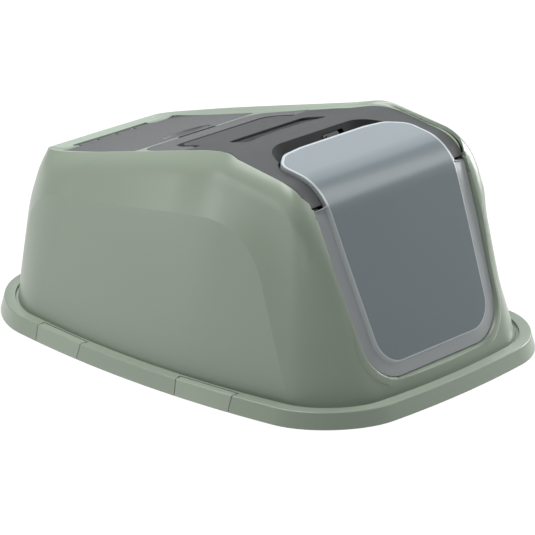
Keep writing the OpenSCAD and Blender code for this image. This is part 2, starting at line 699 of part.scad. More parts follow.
// The arched field lies a little below the side wall round it
module side_fields() {
    difference() {
        along_x(2 * half_w) polygon(outline(arch_field, 10));
        skin(hood_rows(arch_depth, -1, 3));
        translate([-half_w, -half_l, -20]) cube([2 * half_w, 2 * half_l, rim_height + 20.5]);
    }
}
module entry_opening() {
    intersection() {
        band(-30, 30);
        face_shape([[flap_half_foot - flap_border - 4, dome_foot + 9, flap_corner - 12],
            [dome_half - 9, border_bend + 2, 60], [dome_half - 7, notch_height - 14, 0]]);
    }
    intersection() {
        band(-30, 30);
        upright(notch_height - 16) union() {
            shape(dome_plan, 1.6);
            shape(scoop_rim, 3.2);
        }
    }
    flap_at() translate([-flap_half_top - gap, -14, -10]) cube([2 * (flap_half_top + gap), 22, 18.6]);
}
module backing() {
    intersection() {
        band(-pocket_floor - wall, 20);
        face_shape(border_face, gap + wall + 1);
    }
    intersection() {
        band(-grille_floor - wall, 0);
        upright() shape(crescent, wall + 2);
    }
    on_top() translate([0, 0, -handle_t - seat - wall]) linear_extrude(40) shape(handle_outer, gap + wall);
    far = leg_outer + gap + wall;
    handle_axis() translate([-far, -handle_t / 2 - gap - wall, -handle_t / 2 - seat - wall])
        cube([2 * far, handle_t + gap + wall, 40]);
    finger_well(wall);
    hinge_axis() translate([-hinge_half - 1, -8 - wall, -knuckle_r - gap - wall])
        cube([2 * hinge_half + 2, 30, 40]);
    both_sides() handle_axis() rod_x(5, leg_outer, leg_outer + 10);
}
module hood_shell() {
    color(sage) difference() {
        union() {
            difference() {
                skin(hood_rows(0, foot_gap, 0));
                side_fields();
                difference() {
                    skin(hood_rows(wall, -1, deck_drop));
                    backing();
                }
                tail_room();
                flap_pocket();
                intersection() {
                    band(-panel_t - seat, 20);
                    upright() shape(panel_plan, gap / 2);
                }
                intersection() {
                    band(-grille_floor, 20);
                    upright() shape(crescent, 0.4);
                }
                handle_pocket();
                lid_pocket();
                finger_well(0);
                on_top() translate([0, 0, -30]) linear_extrude(60) shape(hatch_plan);
                entry_opening();
                on_top() translate([-50, pad_run - 14, -30]) cube([100, 26, 40]);
            }
            intersection() {
                union() {
                    both_sides() flap_at() rod_x(7, flap_half_top + gap, flap_half_top + 17);
                    lid_lugs();
                }
                skin(hood_rows(0, foot_gap, -8));
            }
            for (place = [-clip_place, clip_place]) for (side = [-1, 1]) clip_boss(side, place);
        }
        flap_at() rod_x(7.6, -flap_half_top - gap, flap_half_top + gap);
        both_sides() flap_at() rod_x(flap_pin_r + 0.05, flap_half_top, flap_half_top + 15);
        both_sides() handle_axis() rod_x(handle_pin_r + 0.05, leg_outer - 1, leg_outer + 9);
        hinge_axis() rod_x(rod_r + 0.02, -hinge_half - 1, hinge_half + 1, 32);
        for (place = [-clip_place, clip_place]) for (side = [-1, 1]) clip_cut(side, place);
    }
}

// ---- litter pan ----------------------------------------------------------

flange_t = 3;
flange_level = rim_height - groove_depth - wall - seat - flange_t;
module pan_outside(grow = 0) {
    loft(rim_ring(grow - pan_inset - pan_draft), 0, rim_ring(grow - pan_inset), pan_height);
}
module litter_tray() {
    color(dark) difference() {
        pan_outside();
        loft(rim_ring(-pan_inset - pan_draft - pan_wall), pan_wall,
            rim_ring(-pan_inset - pan_wall), pan_height + 0.1);
        along_x(500) polygon([[-half_l - 16, sill_height], [-half_l + 94, sill_height],
            [-half_l + 144, pan_height], [-half_l + 144, 150], [-half_l - 16, 150]]);
    }
}
// The pan's flange: the hood stands on it and the clips' beads snap under its edge
module tray_flange() {
    color(dark) difference() {
        translate([0, 0, flange_level]) linear_extrude(flange_t) polygon(rim_ring(-3.5));
        pan_outside(0.05);
    }
}

litter_tray();
tray_flange();
hood_shell();
front_panel();
filter_grille();
filter_pad();
filter_holder();
carry_handle();
rear_lid();
lid_hinge_rod();
entry_flap();
flap_lock();
clip(-1, -clip_place);  // clip_front_left
clip(1, -clip_place);  // clip_front_right
clip(-1, clip_place);  // clip_rear_left
clip(1, clip_place);  // clip_rear_right
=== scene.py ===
import json
import math
import bmesh
import bpy
import numpy as np
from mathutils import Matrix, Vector


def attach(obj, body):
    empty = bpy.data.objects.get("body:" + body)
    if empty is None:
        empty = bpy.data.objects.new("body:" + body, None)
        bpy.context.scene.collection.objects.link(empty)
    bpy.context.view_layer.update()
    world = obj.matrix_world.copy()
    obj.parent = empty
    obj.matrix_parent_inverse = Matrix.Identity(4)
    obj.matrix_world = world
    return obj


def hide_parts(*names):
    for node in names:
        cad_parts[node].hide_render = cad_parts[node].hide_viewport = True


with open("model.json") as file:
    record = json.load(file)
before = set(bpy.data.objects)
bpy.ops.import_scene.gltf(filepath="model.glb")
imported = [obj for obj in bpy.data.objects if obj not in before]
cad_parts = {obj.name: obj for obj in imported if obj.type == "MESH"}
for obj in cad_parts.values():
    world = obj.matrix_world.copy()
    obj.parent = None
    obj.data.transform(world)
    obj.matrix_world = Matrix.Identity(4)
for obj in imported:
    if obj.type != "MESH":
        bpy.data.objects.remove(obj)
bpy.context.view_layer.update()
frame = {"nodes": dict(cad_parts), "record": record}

BODY = {n: b for b, ns in frame["record"]["behaviour"]["bodies"].items() for n in ns}

# ---------------------------------------------------------------- sizes, mm
# They follow the part's source. mesh() turns them into metres.
RIM_L, RIM_W, RIM_H, FLARE, FOOT = 568.0, 399.0, 17.5, 4.4, 0.6
LEDGE, GROOVE, GROOVE_D, WALL = 12.5, 3.5, 3.0, 2.8
LEAN, RISE, FALL = math.radians(21.7), math.radians(9.5), math.radians(12.9)
TOP, BEND_R, SHOULDER_R = 240.0, 53.0, 60.0
CROWN, CROWN_F, CROWN_R, CROWN_INSET = 3.7, 127.4, 117.0, 54.0
PANEL_F, PANEL_R, PANEL_T, GAP, SEAT = 122.5, 97.0, 2.6, 0.8, 0.3
HALF_L, HALF_W = RIM_L / 2, RIM_W / 2
INSET = LEDGE + GROOVE
SH = np.array([-HALF_L + 211.0, TOP])
NOTCH = 204.0
FLAP_T, DOME = 2.4, 4.0
PIN = (-182.483, 199.0)
PIN_R, EAR_R, BOSS_R, PIN_ROOM_R = 3, 4.4, 7, 7.6
HANDLE_T, HANDLE_PIN_R = 7.0, 2.5
KNUCKLE_R, KNUCKLE_PITCH, LUG_HALF, ROD_R, ROD_HALF = 3.4, 28.5, 1.35, 1.5, 61
DIMPLE_R, SCOOP_R = 12, 87.2
CLIP_T, CLIP_HALF, CLIP_INBOARD, CLIP_KNUCKLE_R, CLIP_PIN_R = 2.4, 38, 9, 2.1, 1.2


def smooth(a, b, x):
    t = np.clip((np.asarray(x, float) - a) / (b - a), 0, 1)
    return t * t * (3 - 2 * t)


# ------------------------------------------------------- outlines and profile
# Points of a ring: steps in a corner arc and an end, shares along a side
ARC, END = 14, 40
SIDE = np.linspace(0, 1, 112)[1:-1]
RING_N = 4 * ARC + 2 * END + 2 * len(SIDE) + 2
MIRROR = 2 * ARC + END


def share_ring(fx, fy, rx, ry):
    """Rounded rectangle in shares, from the rear right arc leftwards."""
    def corner(sx, top, a0, cx, cy):
        t = np.radians(a0 + 90 * np.arange(ARC + 1) / ARC)
        return np.c_[sx * (1 - cx) + cx * np.cos(t), (1 - cy if top else cy) + cy * np.sin(t)]
    a, b = corner(1, 1, 0, rx, ry), corner(-1, 1, 90, rx, ry)
    c, d = corner(-1, 0, 180, fx, fy), corner(1, 0, 270, fx, fy)

    def run(p, q, f):
        return p + (q - p) * np.asarray(f)[:, None]
    ends = np.arange(1, END) / END
    return np.vstack([a, run(a[-1], b[0], ends), b, run(b[-1], c[0], SIDE),
                      c, run(c[-1], d[0], ends), d, run(d[-1], a[0], 1 - SIDE[::-1])])


def rim_ring(off):
    """Outline of the rim, moved outward by off."""
    a, b, rf, rr = HALF_W + off, HALF_L + off, 66 + off, 84 + off
    w, l = a - 36, 2 * b - 52
    s = share_ring(rf / w, rf / l, rr / w, rr / l)
    x, y = s[:, 0] * w, -(b - 22) + s[:, 1] * l
    px = (x + 36 * (1 - (y / b) ** 2) * s[:, 0]) * (1 - 0.05 * y / b)
    py = np.where(y < 0, y - 22 * (1 - (x / a) ** 2) * np.minimum(1, -y / (b - 22)),
                  y + 30 * (1 - (x / a) ** 2) * np.minimum(1, y / (b - 30)))
    return np.c_[px, py]


def rim_x(y):
    return (HALF_W - 36 * (y / HALF_L) ** 2) * (1 - 0.05 * y / HALF_L)


FACE_DIR = np.array([math.sin(LEAN), math.cos(LEAN)])
FACE_N = np.array([-math.cos(LEAN), math.sin(LEAN)])
RISE_DIR = np.array([math.cos(RISE), math.sin(RISE)])
RISE_N = np.array([-math.sin(RISE), math.cos(RISE)])
FALL_DIR = np.array([math.cos(FALL), -math.sin(FALL)])
FALL_N = np.array([math.sin(FALL), math.cos(FALL)])
FOOT_P = np.array([-HALF_L + INSET + 6.3, RIM_H])


def cross(a, b):
    return a[0] * b[1] - a[1] * b[0]


CORNER = SH - RISE_DIR * cross(SH - FOOT_P, FACE_DIR) / cross(RISE_DIR, FACE_DIR)
BEND_C = CORNER + RISE_DIR * BEND_R * math.tan((math.pi / 2 - LEAN - RISE) / 2) - RISE_N * BEND_R
SH_C = SH - RISE_DIR * SHOULDER_R * math.tan((RISE + FALL) / 2) - RISE_N * SHOULDER_R


BEND_STEPS, CREST_STEPS = 40, 14


def profile(off):
    """Side profile of the face, its bend, the rise, the shoulder and the fall, moved out by off."""
    pts = [FOOT_P - FACE_DIR * 12 + off * FACE_N]
    for k in range(BEND_STEPS + 1):
        t = math.pi / 2 - LEAN - (math.pi / 2 - LEAN - RISE) * k / BEND_STEPS
        pts.append(BEND_C + (BEND_R + off) * np.array([-math.sin(t), math.cos(t)]))
    for k in range(CREST_STEPS + 1):
        t = -RISE + (RISE + FALL) * k / CREST_STEPS
        pts.append(SH_C + (SHOULDER_R + off) * np.array([math.sin(t), math.cos(t)]))
    pts.append(SH + FALL_DIR * 330 + off * FALL_N)
    return np.array(pts)


def surface_z(y, off):
    y = np.asarray(y, float)
    arc = lambda c, r: c[1] + np.sqrt(np.maximum(0, r * r - (y - c[0]) ** 2))
    rise = TOP + math.tan(RISE) * (y - SH[0]) + off / math.cos(RISE)
    fall = TOP - math.tan(FALL) * (y - SH[0]) + off / math.cos(FALL)
    z = np.where(y < SH_C[0] + (SHOULDER_R + off) * math.sin(FALL), arc(SH_C, SHOULDER_R + off), fall)
    z = np.where(y < SH_C[0] - (SHOULDER_R + off) * math.sin(RISE), rise, z)
    return np.where(y < BEND_C[0] - (BEND_R + off) * math.sin(RISE), arc(BEND_C, BEND_R + off), z)


def face_y(z):
    return FOOT_P[0] + math.tan(LEAN) * (z - FOOT_P[1])


def top_run(y):
    return (y - SH[0]) / math.cos(FALL)


# Corner-rounded outline: rows of (x, y, radius), right half low to high
def outline(p, steps=12):
    out, n = [], len(p)
    for i in range(n):
        a, b, c, r = np.array(p[i - 1][:2]), np.array(p[i][:2]), np.array(p[(i + 1) % n][:2]), p[i][2]
        if r <= 0:
            out.append(b)
            continue
        u, v = (a - b) / np.linalg.norm(a - b), (c - b) / np.linalg.norm(c - b)
        half = math.acos(max(-1, min(1, u @ v))) / 2
        m = b + (u + v) / np.linalg.norm(u + v) * r / math.sin(half)
        s, e = b + u * r / math.tan(half) - m, b + v * r / math.tan(half) - m
        a0, turn = math.atan2(s[1], s[0]), math.atan2(e[1], e[0]) - math.atan2(s[1], s[0])
        turn = (turn + math.pi) % (2 * math.pi) - math.pi
        for k in range(steps + 1):
            out.append(m + r * np.array([math.cos(a0 + turn * k / steps), math.sin(a0 + turn * k / steps)]))
    return np.array(out)


def both(p):
    return list(p) + [(-x, y, r) for x, y, r in p[::-1]]


def grown(p, d):
    """Outline moved outward by d along its corner bisectors."""
    p = np.asarray(p, float)
    keep = [0]
    for i in range(1, len(p)):
        if np.linalg.norm(p[i] - p[keep[-1]]) > 1e-6:
            keep.append(i)
    p = p[keep]
    area = np.sum(p[:, 0] * np.roll(p[:, 1], -1) - np.roll(p[:, 0], -1) * p[:, 1])
    e = np.roll(p, -1, 0) - p
    e /= np.linalg.norm(e, axis=1)[:, None]
    nrm = np.c_[e[:, 1], -e[:, 0]] * np.sign(area)
    prev = np.roll(nrm, 1, 0)
    m = nrm + prev
    return p + d * m / np.maximum(0.3, (m * nrm).sum(1))[:, None]


def shape(p, grow=0.0):
    o = outline(both(p))
    return grown(o, grow) if grow else o


# ----------------------------------------------------------------- mesh tools
def mesh(name, verts, faces):
    me = bpy.data.meshes.new(name)
    me.from_pydata([tuple(float(c) * 0.001 for c in v) for v in verts], [], faces)
    me.update()
    o = bpy.data.objects.new(name, me)
    bpy.context.scene.collection.objects.link(o)
    return o


def prism(pts, lo, hi, place):
    """Closed prism over a closed outline; place maps (u, v, w) to x, y, z."""
    n = len(pts)
    v = [place(p[0], p[1], lo) for p in pts] + [place(p[0], p[1], hi) for p in pts]
    area = np.sum(pts[:, 0] * np.roll(pts[:, 1], -1) - np.roll(pts[:, 0], -1) * pts[:, 1])
    a, b, c = [np.array(place(*q)) for q in ((0, 0, 0), (1, 0, 0), (0, 1, 0))]
    w = np.array(place(0, 0, 1)) - a
    flip = (np.cross(b - a, c - a) @ w) * area * (hi - lo) < 0
    f = [tuple(range(n - 1, -1, -1)), tuple(range(n, 2 * n))]
    f += [(i, (i + 1) % n, n + (i + 1) % n, n + i) for i in range(n)]
    if flip:
        f = [q[::-1] for q in f]
    return mesh("cut", v, f)


def place_xyz(x, y, z):
    return (x, y, z)


def upright(pts, z0=60):
    return prism(pts, z0, 275, place_xyz)


def forward(pts):
    return prism(pts, -292, -95, lambda x, z, h: (x, h, z))


def along_x(pts, x0, x1):
    return prism(np.asarray(pts, float), x0, x1, lambda y, z, h: (h, y, z))


def top_place(x, s, h):
    p = SH + FALL_DIR * s + FALL_N * h
    return (x, p[0], p[1])


def at_run(run, lift=0.0):
    """Place on the top, from a run along it and a height over it."""
    return lambda x, y, z: top_place(x, run + y, lift + z)


def on_top(pts, lo, hi):
    return prism(np.asarray(pts, float), lo, hi, top_place)


def band(lo, hi):
    """Slab along the side profile, between two distances from it."""
    return along_x(np.vstack([profile(hi), profile(lo)[::-1]]), -230, 230)


def loft(a, b, za, zb, place):
    """Closed solid between two outlines of as many points."""
    n = len(a)
    v = [place(p[0], p[1], za) for p in a] + [place(p[0], p[1], zb) for p in b]
    f = [tuple(range(n - 1, -1, -1)), tuple(range(n, 2 * n))]
    f += [(i, (i + 1) % n, n + (i + 1) % n, n + i) for i in range(n)]
    return outward(mesh("loft", v, f))


def outward(o):
    """Turn a closed mesh's faces outward."""
    bm = bmesh.new()
    bm.from_mesh(o.data)
    bmesh.ops.recalc_face_normals(bm, faces=bm.faces)
    if bm.calc_volume(signed=True) < 0:
        bmesh.ops.reverse_faces(bm, faces=bm.faces)
    bm.to_mesh(o.data)
    bm.free()
    return o


def rod(r, x0, x1, y=0.0, z=0.0, n=48):
    t = 2 * math.pi * np.arange(n) / n
    return along_x(np.c_[y + r * np.cos(t), z + r * np.sin(t)], x0, x1)


def box(lo, hi, place=place_xyz):
    return prism(np.array([(lo[0], lo[1]), (hi[0], lo[1]), (hi[0], hi[1]), (lo[0], hi[1])], float),
                 lo[2], hi[2], place)


def cut(a, b, op="DIFFERENCE", keep=False):
    """Boolean of a with b, applied to a; b is used up."""
    m = a.modifiers.new("b", "BOOLEAN")
    m.operation, m.solver, m.object = op, "MANIFOLD", b
    dg = bpy.context.evaluated_depsgraph_get()
    me = bpy.data.meshes.new_from_object(a.evaluated_get(dg), depsgraph=dg)
    a.modifiers.clear()
    old, a.data = a.data, me
    bpy.data.meshes.remove(old)
    if not keep:
        bpy.data.objects.remove(b)
    return a


def join(a, b):
    return cut(a, b, "UNION")


def meet(a, b, keep=False):
    return cut(a, b, "INTERSECT", keep)


def sided(x0, x1, s):
    """The range x0 to x1 on the right, or its mirror on the left."""
    return (x0, x1) if s > 0 else (-x1, -x0)


def finish_piece(o, name, node, material, angle):
    """Name and colour a piece, and let it ride and stand for its node."""
    o.name = name
    o.data.name = name
    o.data.materials.clear()
    o.data.materials.append(material)
    for p in o.data.polygons:
        p.use_smooth = True
    o.data.set_sharp_from_angle(angle=math.radians(angle))
    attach(o, BODY[node])
    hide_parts(node)
    return o


def paint_shade(o, material, chosen):
    """Give a second material, a darker one that paints shade, to the faces chosen by their middle, in mm,
    and normal.
    """
    o.data.materials.append(material)
    for poly in o.data.polygons:
        if chosen(poly.center * 1000, poly.normal):
            poly.material_index = 1


# ------------------------------------------------------------------ materials
def plastic(name, colour, rough, grain=0.0, grain_size=0.0006, speck=0.06, round_r=0.0007,
            spec=0.5):
    m = bpy.data.materials.new(name)
    m.use_nodes = True
    nt = m.node_tree
    N, L = nt.nodes, nt.links
    b = N["Principled BSDF"]
    tc = N.new("ShaderNodeTexCoord")
    cloud = N.new("ShaderNodeTexNoise")
    cloud.inputs["Scale"].default_value = 9.0
    cloud.inputs["Detail"].default_value = 5.0
    L.new(tc.outputs["Object"], cloud.inputs["Vector"])
    ramp = N.new("ShaderNodeMixRGB")
    ramp.blend_type = "MIX"
    c = np.array(colour)
    ramp.inputs["Color1"].default_value = (*(c * (1 - speck)), 1)
    ramp.inputs["Color2"].default_value = (*np.minimum(1, c * (1 + speck)), 1)
    L.new(cloud.outputs["Fac"], ramp.inputs["Fac"])
    L.new(ramp.outputs["Color"], b.inputs["Base Color"])
    fine = N.new("ShaderNodeTexNoise")
    fine.inputs["Scale"].default_value = 1.0 / grain_size
    fine.inputs["Detail"].default_value = 3.0
    L.new(tc.outputs["Object"], fine.inputs["Vector"])
    rr = N.new("ShaderNodeMapRange")
    rr.inputs["From Min"].default_value, rr.inputs["From Max"].default_value = 0.3, 0.7
    rr.inputs["To Min"].default_value, rr.inputs["To Max"].default_value = rough * 0.9, min(1, rough * 1.12)
    L.new(cloud.outputs["Fac"], rr.inputs["Value"])
    L.new(rr.outputs["Result"], b.inputs["Roughness"])
    bump = N.new("ShaderNodeBump")
    bump.inputs["Strength"].default_value = grain
    bump.inputs["Distance"].default_value = grain_size * 0.5
    L.new(fine.outputs["Fac"], bump.inputs["Height"])
    if round_r:
        edge = N.new("ShaderNodeBevel")
        edge.samples = 4
        edge.inputs["Radius"].default_value = round_r
        L.new(edge.outputs["Normal"], bump.inputs["Normal"])
    L.new(bump.outputs["Normal"], b.inputs["Normal"])
    b.inputs["Specular IOR Level"].default_value = spec
    return m


sage = plastic("sage_plastic", (0.235, 0.280, 0.222), 0.30, grain=0.02, grain_size=0.0012, speck=0.02)
# A dark copy of the sage: painted shade for the hood's pockets under the deck
sage_painted_shade = plastic("sage_painted_shade", (0.075, 0.085, 0.075), 0.6, grain=0.05, grain_size=0.0012, speck=0.02)
sage_clip = plastic("sage_clip_plastic", (0.265, 0.312, 0.25), 0.30, grain=0.02, grain_size=0.0012,
                    speck=0.02)
charcoal = plastic("charcoal_plastic", (0.088, 0.090, 0.093), 0.5, grain=0.5, grain_size=0.00045)
charcoal_panel = plastic("charcoal_panel", (0.054, 0.0555, 0.057), 0.5, grain=0.5, grain_size=0.0006,
                         speck=0.10, spec=0.25)
# A near-black copy of the charcoal: painted shade for the panel's scoop and the lid's hinge knuckles
charcoal_painted_shade = plastic("charcoal_painted_shade", (0.022, 0.023, 0.024), 0.7, grain=0.2, grain_size=0.0005,
                        spec=0.12)
grille_charcoal = plastic("grille_charcoal", (0.040, 0.041, 0.043), 0.75, grain=1.0, grain_size=0.0016,
                          speck=0.25, spec=0.25)
charcoal_smooth = plastic("charcoal_smooth", (0.044, 0.045, 0.047), 0.42, grain=0.1, grain_size=0.0005,
                          spec=0.2)
pan_grey = plastic("pan_plastic", (0.10, 0.11, 0.105), 0.45, grain=0.2, grain_size=0.0006)
foam = plastic("carbon_foam", (0.014, 0.014, 0.015), 0.95, grain=1.0, grain_size=0.0022, speck=0.3,
               round_r=0.0)
steel = plastic("steel_rod", (0.55, 0.56, 0.58), 0.3, grain=0.15, grain_size=0.0003)
steel.node_tree.nodes["Principled BSDF"].inputs["Metallic"].default_value = 1.0


def smoke_plastic(name, light, dark, through):
    m = bpy.data.materials.new(name)
    m.use_nodes = True
    nt = m.node_tree
    N, L = nt.nodes, nt.links
    b = N["Principled BSDF"]
    tc = N.new("ShaderNodeTexCoord")
    cloud = N.new("ShaderNodeTexNoise")
    cloud.inputs["Scale"].default_value = 4.0
    L.new(tc.outputs["Object"], cloud.inputs["Vector"])
    mix = N.new("ShaderNodeMixRGB")
    mix.inputs["Color1"].default_value = (*dark, 1)
    mix.inputs["Color2"].default_value = (*light, 1)
    L.new(cloud.outputs["Fac"], mix.inputs["Fac"])
    L.new(mix.outputs["Color"], b.inputs["Base Color"])
    b.inputs["Roughness"].default_value = 0.22
    b.inputs["IOR"].default_value = 1.46
    b.inputs["Transmission Weight"].default_value = through
    return m


smoke = smoke_plastic("smoke_plastic", (0.255, 0.295, 0.312), (0.215, 0.255, 0.272), 0.35)
smoke_border = smoke_plastic("smoke_border", (0.47, 0.50, 0.515), (0.43, 0.46, 0.475), 0.4)
# Whitish copy of the smoke: painted highlight on the step round the dome
smoke_painted_highlight = smoke_plastic("smoke_painted_highlight", (0.66, 0.71, 0.73), (0.6, 0.65, 0.67), 0.4)


# ----------------------------------------------------------------------- hood
# Steps round the rim's top edge and up the walls, and that edge's radius
RIM_STEPS, WALL_STEPS, RIM_ROUND = 4, 44, 1.2


def crown_z(y):
    """Height of the hood's upper edge."""
    rear = HALF_L - CROWN_INSET
    return surface_z(y, CROWN) + 1.0 * smooth(rear - 50, rear, y)


def blend_half(front, rear, slope, y):
    return rear - (y - SH[0]) * slope + (front - rear) * (1 - smooth(SH[0] - 20, SH[0] + 50, y))


CROWN_Y0, CROWN_Y1 = face_y(NOTCH) - 1, HALF_L - CROWN_INSET


def end_bow(s):
    rear, front = -smooth(0.7, 1, s[:, 1]), 1 - smooth(0, 0.3, s[:, 1])
    return 2.0 * s[:, 0] ** 2 * np.where(s[:, 1] > 0.5, rear, front)


def crown_ring(off):
    s = share_ring(0.10, 0.05, 0.26, 0.30)
    y = CROWN_Y0 - off + s[:, 1] * (CROWN_Y1 - CROWN_Y0 + 2 * off)
    return np.c_[s[:, 0] * (blend_half(CROWN_F, CROWN_R, 0.021, y) + off), y + end_bow(s)]


def deck_ring(off):
    s = share_ring(0.06, 0.05, 0.26, 0.26)
    y = CROWN_Y0 + 2 - off + s[:, 1] * (CROWN_Y1 - 13 - CROWN_Y0 - 2 + 2 * off)
    return np.c_[s[:, 0] * (blend_half(PANEL_F + 1, PANEL_R + 6, 0.045, y) + off), y + end_bow(s)]


def wall_rows(base, crown, z0, off):
    """Rings of the walls from base to crown, bulging by the way that each point faces."""
    d = np.roll(base, -1, 0) - np.roll(base, 1, 0)
    n = np.c_[d[:, 1], -d[:, 0]] / np.linalg.norm(d, axis=1)[:, None]
    side = n[:, 0] ** 2
    front = np.where(n[:, 1] < 0, n[:, 1] ** 2, 0)
    rear = np.where(n[:, 1] > 0, n[:, 1] ** 2, 0)
    k = side * 0.35 + front * 0.10 + rear * 0.775
    p = side * 12.9 + front * 4 + rear * 1.5
    top = crown_z(crown[:, 1]) + off
    rows = []
    for j in range(WALL_STEPS + 1):
        v = math.sin(math.pi / 2 * j / WALL_STEPS)
        h = (1 - k) * v + k * v ** p
        rows.append(np.c_[base + (crown - base) * h[:, None], z0 + (top - z0) * v])
    return rows


def flat(ring, z):
    return np.c_[ring, np.full(len(ring), z)]


def rim_rows(t, foot):
    """Rings up the outside of the rim and round its top edge."""
    rows = [flat(rim_ring(FLARE - t), foot)]
    for k in range(RIM_STEPS + 1):
        a = math.pi / 2 * k / RIM_STEPS
        z = RIM_H - RIM_ROUND + RIM_ROUND * math.sin(a) - t * math.sin(a) - t / 2 * (1 - math.sin(a))
        rows.append(flat(rim_ring(-t - RIM_ROUND * (1 - math.cos(a))), z))
    return rows


def hood_rows(t, foot, drop):
    """Rings of the hood's skin, t inside its face: rim, ledge, groove, walls and deck."""
    z = RIM_H - GROOVE_D - t
    rows = rim_rows(t, foot)
    rows += [flat(rim_ring(-LEDGE + t), RIM_H - t), flat(rim_ring(-LEDGE + t), z)]
    rows += wall_rows(rim_ring(-INSET - t), crown_ring(-t), z, -t)
    deck = deck_ring(t / 2)
    last = rows[-1]
    end = np.c_[deck, surface_z(deck[:, 1], -drop)]
    for k in (1, 2, 3, 4):
        f = k / 4
        dip = last[:, 2] + (end[:, 2] - last[:, 2]) * (f * f * (3 - 2 * f) if drop <= 0 else f)
        rows.append(np.c_[last[:, :2] + (end[:, :2] - last[:, :2]) * f, dip])
    return rows


def skin(rows, cap_flat=False):
    """Closed mesh over the rings, capped flat or by strips from side to side."""
    n, R = RING_N, len(rows)
    v = np.vstack(rows)
    f = [tuple(range(n - 1, -1, -1))]
    for j in range(R - 1):
        for i in range(n):
            a, b = j * n + i, j * n + (i + 1) % n
            f.append((a, b, b + n, a + n))
    top, mid = (R - 1) * n, MIRROR // 2
    if cap_flat:
        f.append(tuple(range(top, top + n)))
    else:
        for t in range(n // 2):
            i, k = (mid - t) % n, (mid - t - 1) % n
            im, km = (MIRROR - i) % n, (MIRROR - k) % n
            q = [top + i, top + im, top + km, top + k]
            f.append(tuple(a for x, a in enumerate(q) if a not in q[:x]))
    return outward(mesh("skin", v, f))


# Outlines shared by the hood and the pieces in it
BORDER = [(101, 30, 47), (116.4, 148, 100), (120, NOTCH - 1, 0)]
LIP = [(110, 21.5, 52), (123, 148, 100), (122, NOTCH + 6, 0)]
DOME_FACE = [(88, 42, 34), (98.3, 153, 60), (101.8, 205, 30), (101.8, 300, 0)]
FLAP_TOP = SH[0] - 33
DOME_PLAN = [(101.8, -300, 0), (101.8, FLAP_TOP - 20, 20), (79.8, FLAP_TOP - 3.5, 30), (49.8, FLAP_TOP, 60)]
ARM = face_y(NOTCH) - 0.3
HANDLE_Y = SH[0] + 89
LEG_Y = HANDLE_Y - HANDLE_T / 2 - GAP
RUN = top_run(HANDLE_Y)
HANDLE_END = RUN + 67.6
INNER_RUN = HANDLE_END - 30
PANEL_END = SH[0] + INNER_RUN * math.cos(FALL) - 6
PANEL = [(122, ARM, 0), (124, SH[0] - 60, 40), (124, SH[0] - 22, 30), (104, SH[0] + 32, 40),
         (99.6, LEG_Y, 4), (72.5, LEG_Y, 0), (72.5, PANEL_END - 14, 10), (64.5, PANEL_END, 12)]
SCOOP_RIM = [(94, SH[0] - 60, 0), (92.5, SH[0] - 37, 18), (76.5, SH[0] - 9, 44)]
SCOOP_BASE = [(84.5, SH[0] - 60, 0), (83.5, SH[0] - 39, 14), (66.5, SH[0] - 22.5, 34)]
CRESCENT = [(0.01, SH[0] + 35, 0), (38, SH[0] + 33, 90), (62, SH[0] + 25, 4), (60, SH[0] + 58, 8)]
LEG = 100.2
H_OUT = [(LEG, RUN, 0), (LEG - 7, RUN + 43, 60), (LEG - 12, HANDLE_END, 22)]
H_IN = [(78.2, RUN - 20, 0), (76.2, RUN + 22, 16), (69.2, INNER_RUN, 12)]
LID_RUN = HANDLE_END + 6.3
HINGE_RUN = LID_RUN + 128
LID = [(95, LID_RUN, 6), (88, HINGE_RUN - 9, 7), (58.5, HINGE_RUN - 8.5, 2), (56.5, HINGE_RUN - 4, 2)]
HATCH = [(82, LID_RUN + 10, 14), (75, HINGE_RUN - 18, 30)]
PAD_RUN = top_run(SH[0] + 36)
GRILLE_FLOOR = 4.9


def axis_at(run, depth):
    return top_place(0, run, -depth)[1:]


H_AXIS, L_AXIS = axis_at(RUN, HANDLE_T / 2), axis_at(HINGE_RUN, KNUCKLE_R)


def dome_area(grow):
    return meet(forward(shape(DOME_FACE, grow)), upright(shape(DOME_PLAN, grow)))


def face_place(x, s, h):
    p = FOOT_P + FACE_DIR * s + FACE_N * h
    return (x, p[0], p[1])


def scoop(grow):
    a = outline(both([(x + grow, y + grow, r) for x, y, r in SCOOP_BASE]))
    b = outline(both([(x + grow, y + grow, r) for x, y, r in SCOOP_RIM]))
    return loft(a, b, 221, 240, place_xyz)


def dimple(r):
    """Flattened ball under the lid's front edge."""
    v, f, n = [], [], 32
    for i in range(1, n):
        for j in range(2 * n):
            a, b = math.pi * i / n, math.pi * j / n
            run = LID_RUN + 13.5 + r * math.sin(a) * math.sin(b)
            v.append(top_place(3 * r * math.sin(a) * math.cos(b), run, 0.5 * r * math.cos(a)))
    m = 2 * n
    for i in range(n - 2):
        for j in range(m):
            f.append((i * m + j, (i + 1) * m + j, (i + 1) * m + (j + 1) % m, i * m + (j + 1) % m))
    f += [tuple(range(m)), tuple(range((n - 2) * m + m - 1, (n - 2) * m - 1, -1))]
    return outward(mesh("dimple", v, f))


def clip_place(side, place, pts, lo, hi, axis):
    turn = math.atan((rim_x(place + 30) - rim_x(place - 30)) / 60)
    c, s = math.cos(-turn), math.sin(-turn)

    def put(x, y, z):
        return (side * (rim_x(place) - CLIP_INBOARD + x * c - y * s), place + x * s + y * c, z)
    if axis == "x":
        return prism(np.asarray(pts, float), lo, hi, lambda y, z, h: put(h, y, z))
    if axis == "y":
        return prism(np.asarray(pts, float), lo, hi, lambda x, z, h: put(x, h, z))
    return prism(np.asarray(pts, float), lo, hi, put)


def disc(r, cx, cy):
    t = 2 * math.pi * np.arange(32) / 32
    return np.c_[cx + r * np.cos(t), cy + r * np.sin(t)]


def clip_window(side, place, grow):
    h = CLIP_HALF + grow
    return clip_place(side, place, [(-h, 30), (h, 30), (h - 3.5, -5), (-h + 3.5, -5)], 0, 30, "x")


PLACES = [(s, p) for p in (-108, 108) for s in (-1, 1)]
CLIP_Z = RIM_H - CLIP_KNUCKLE_R - 0.3


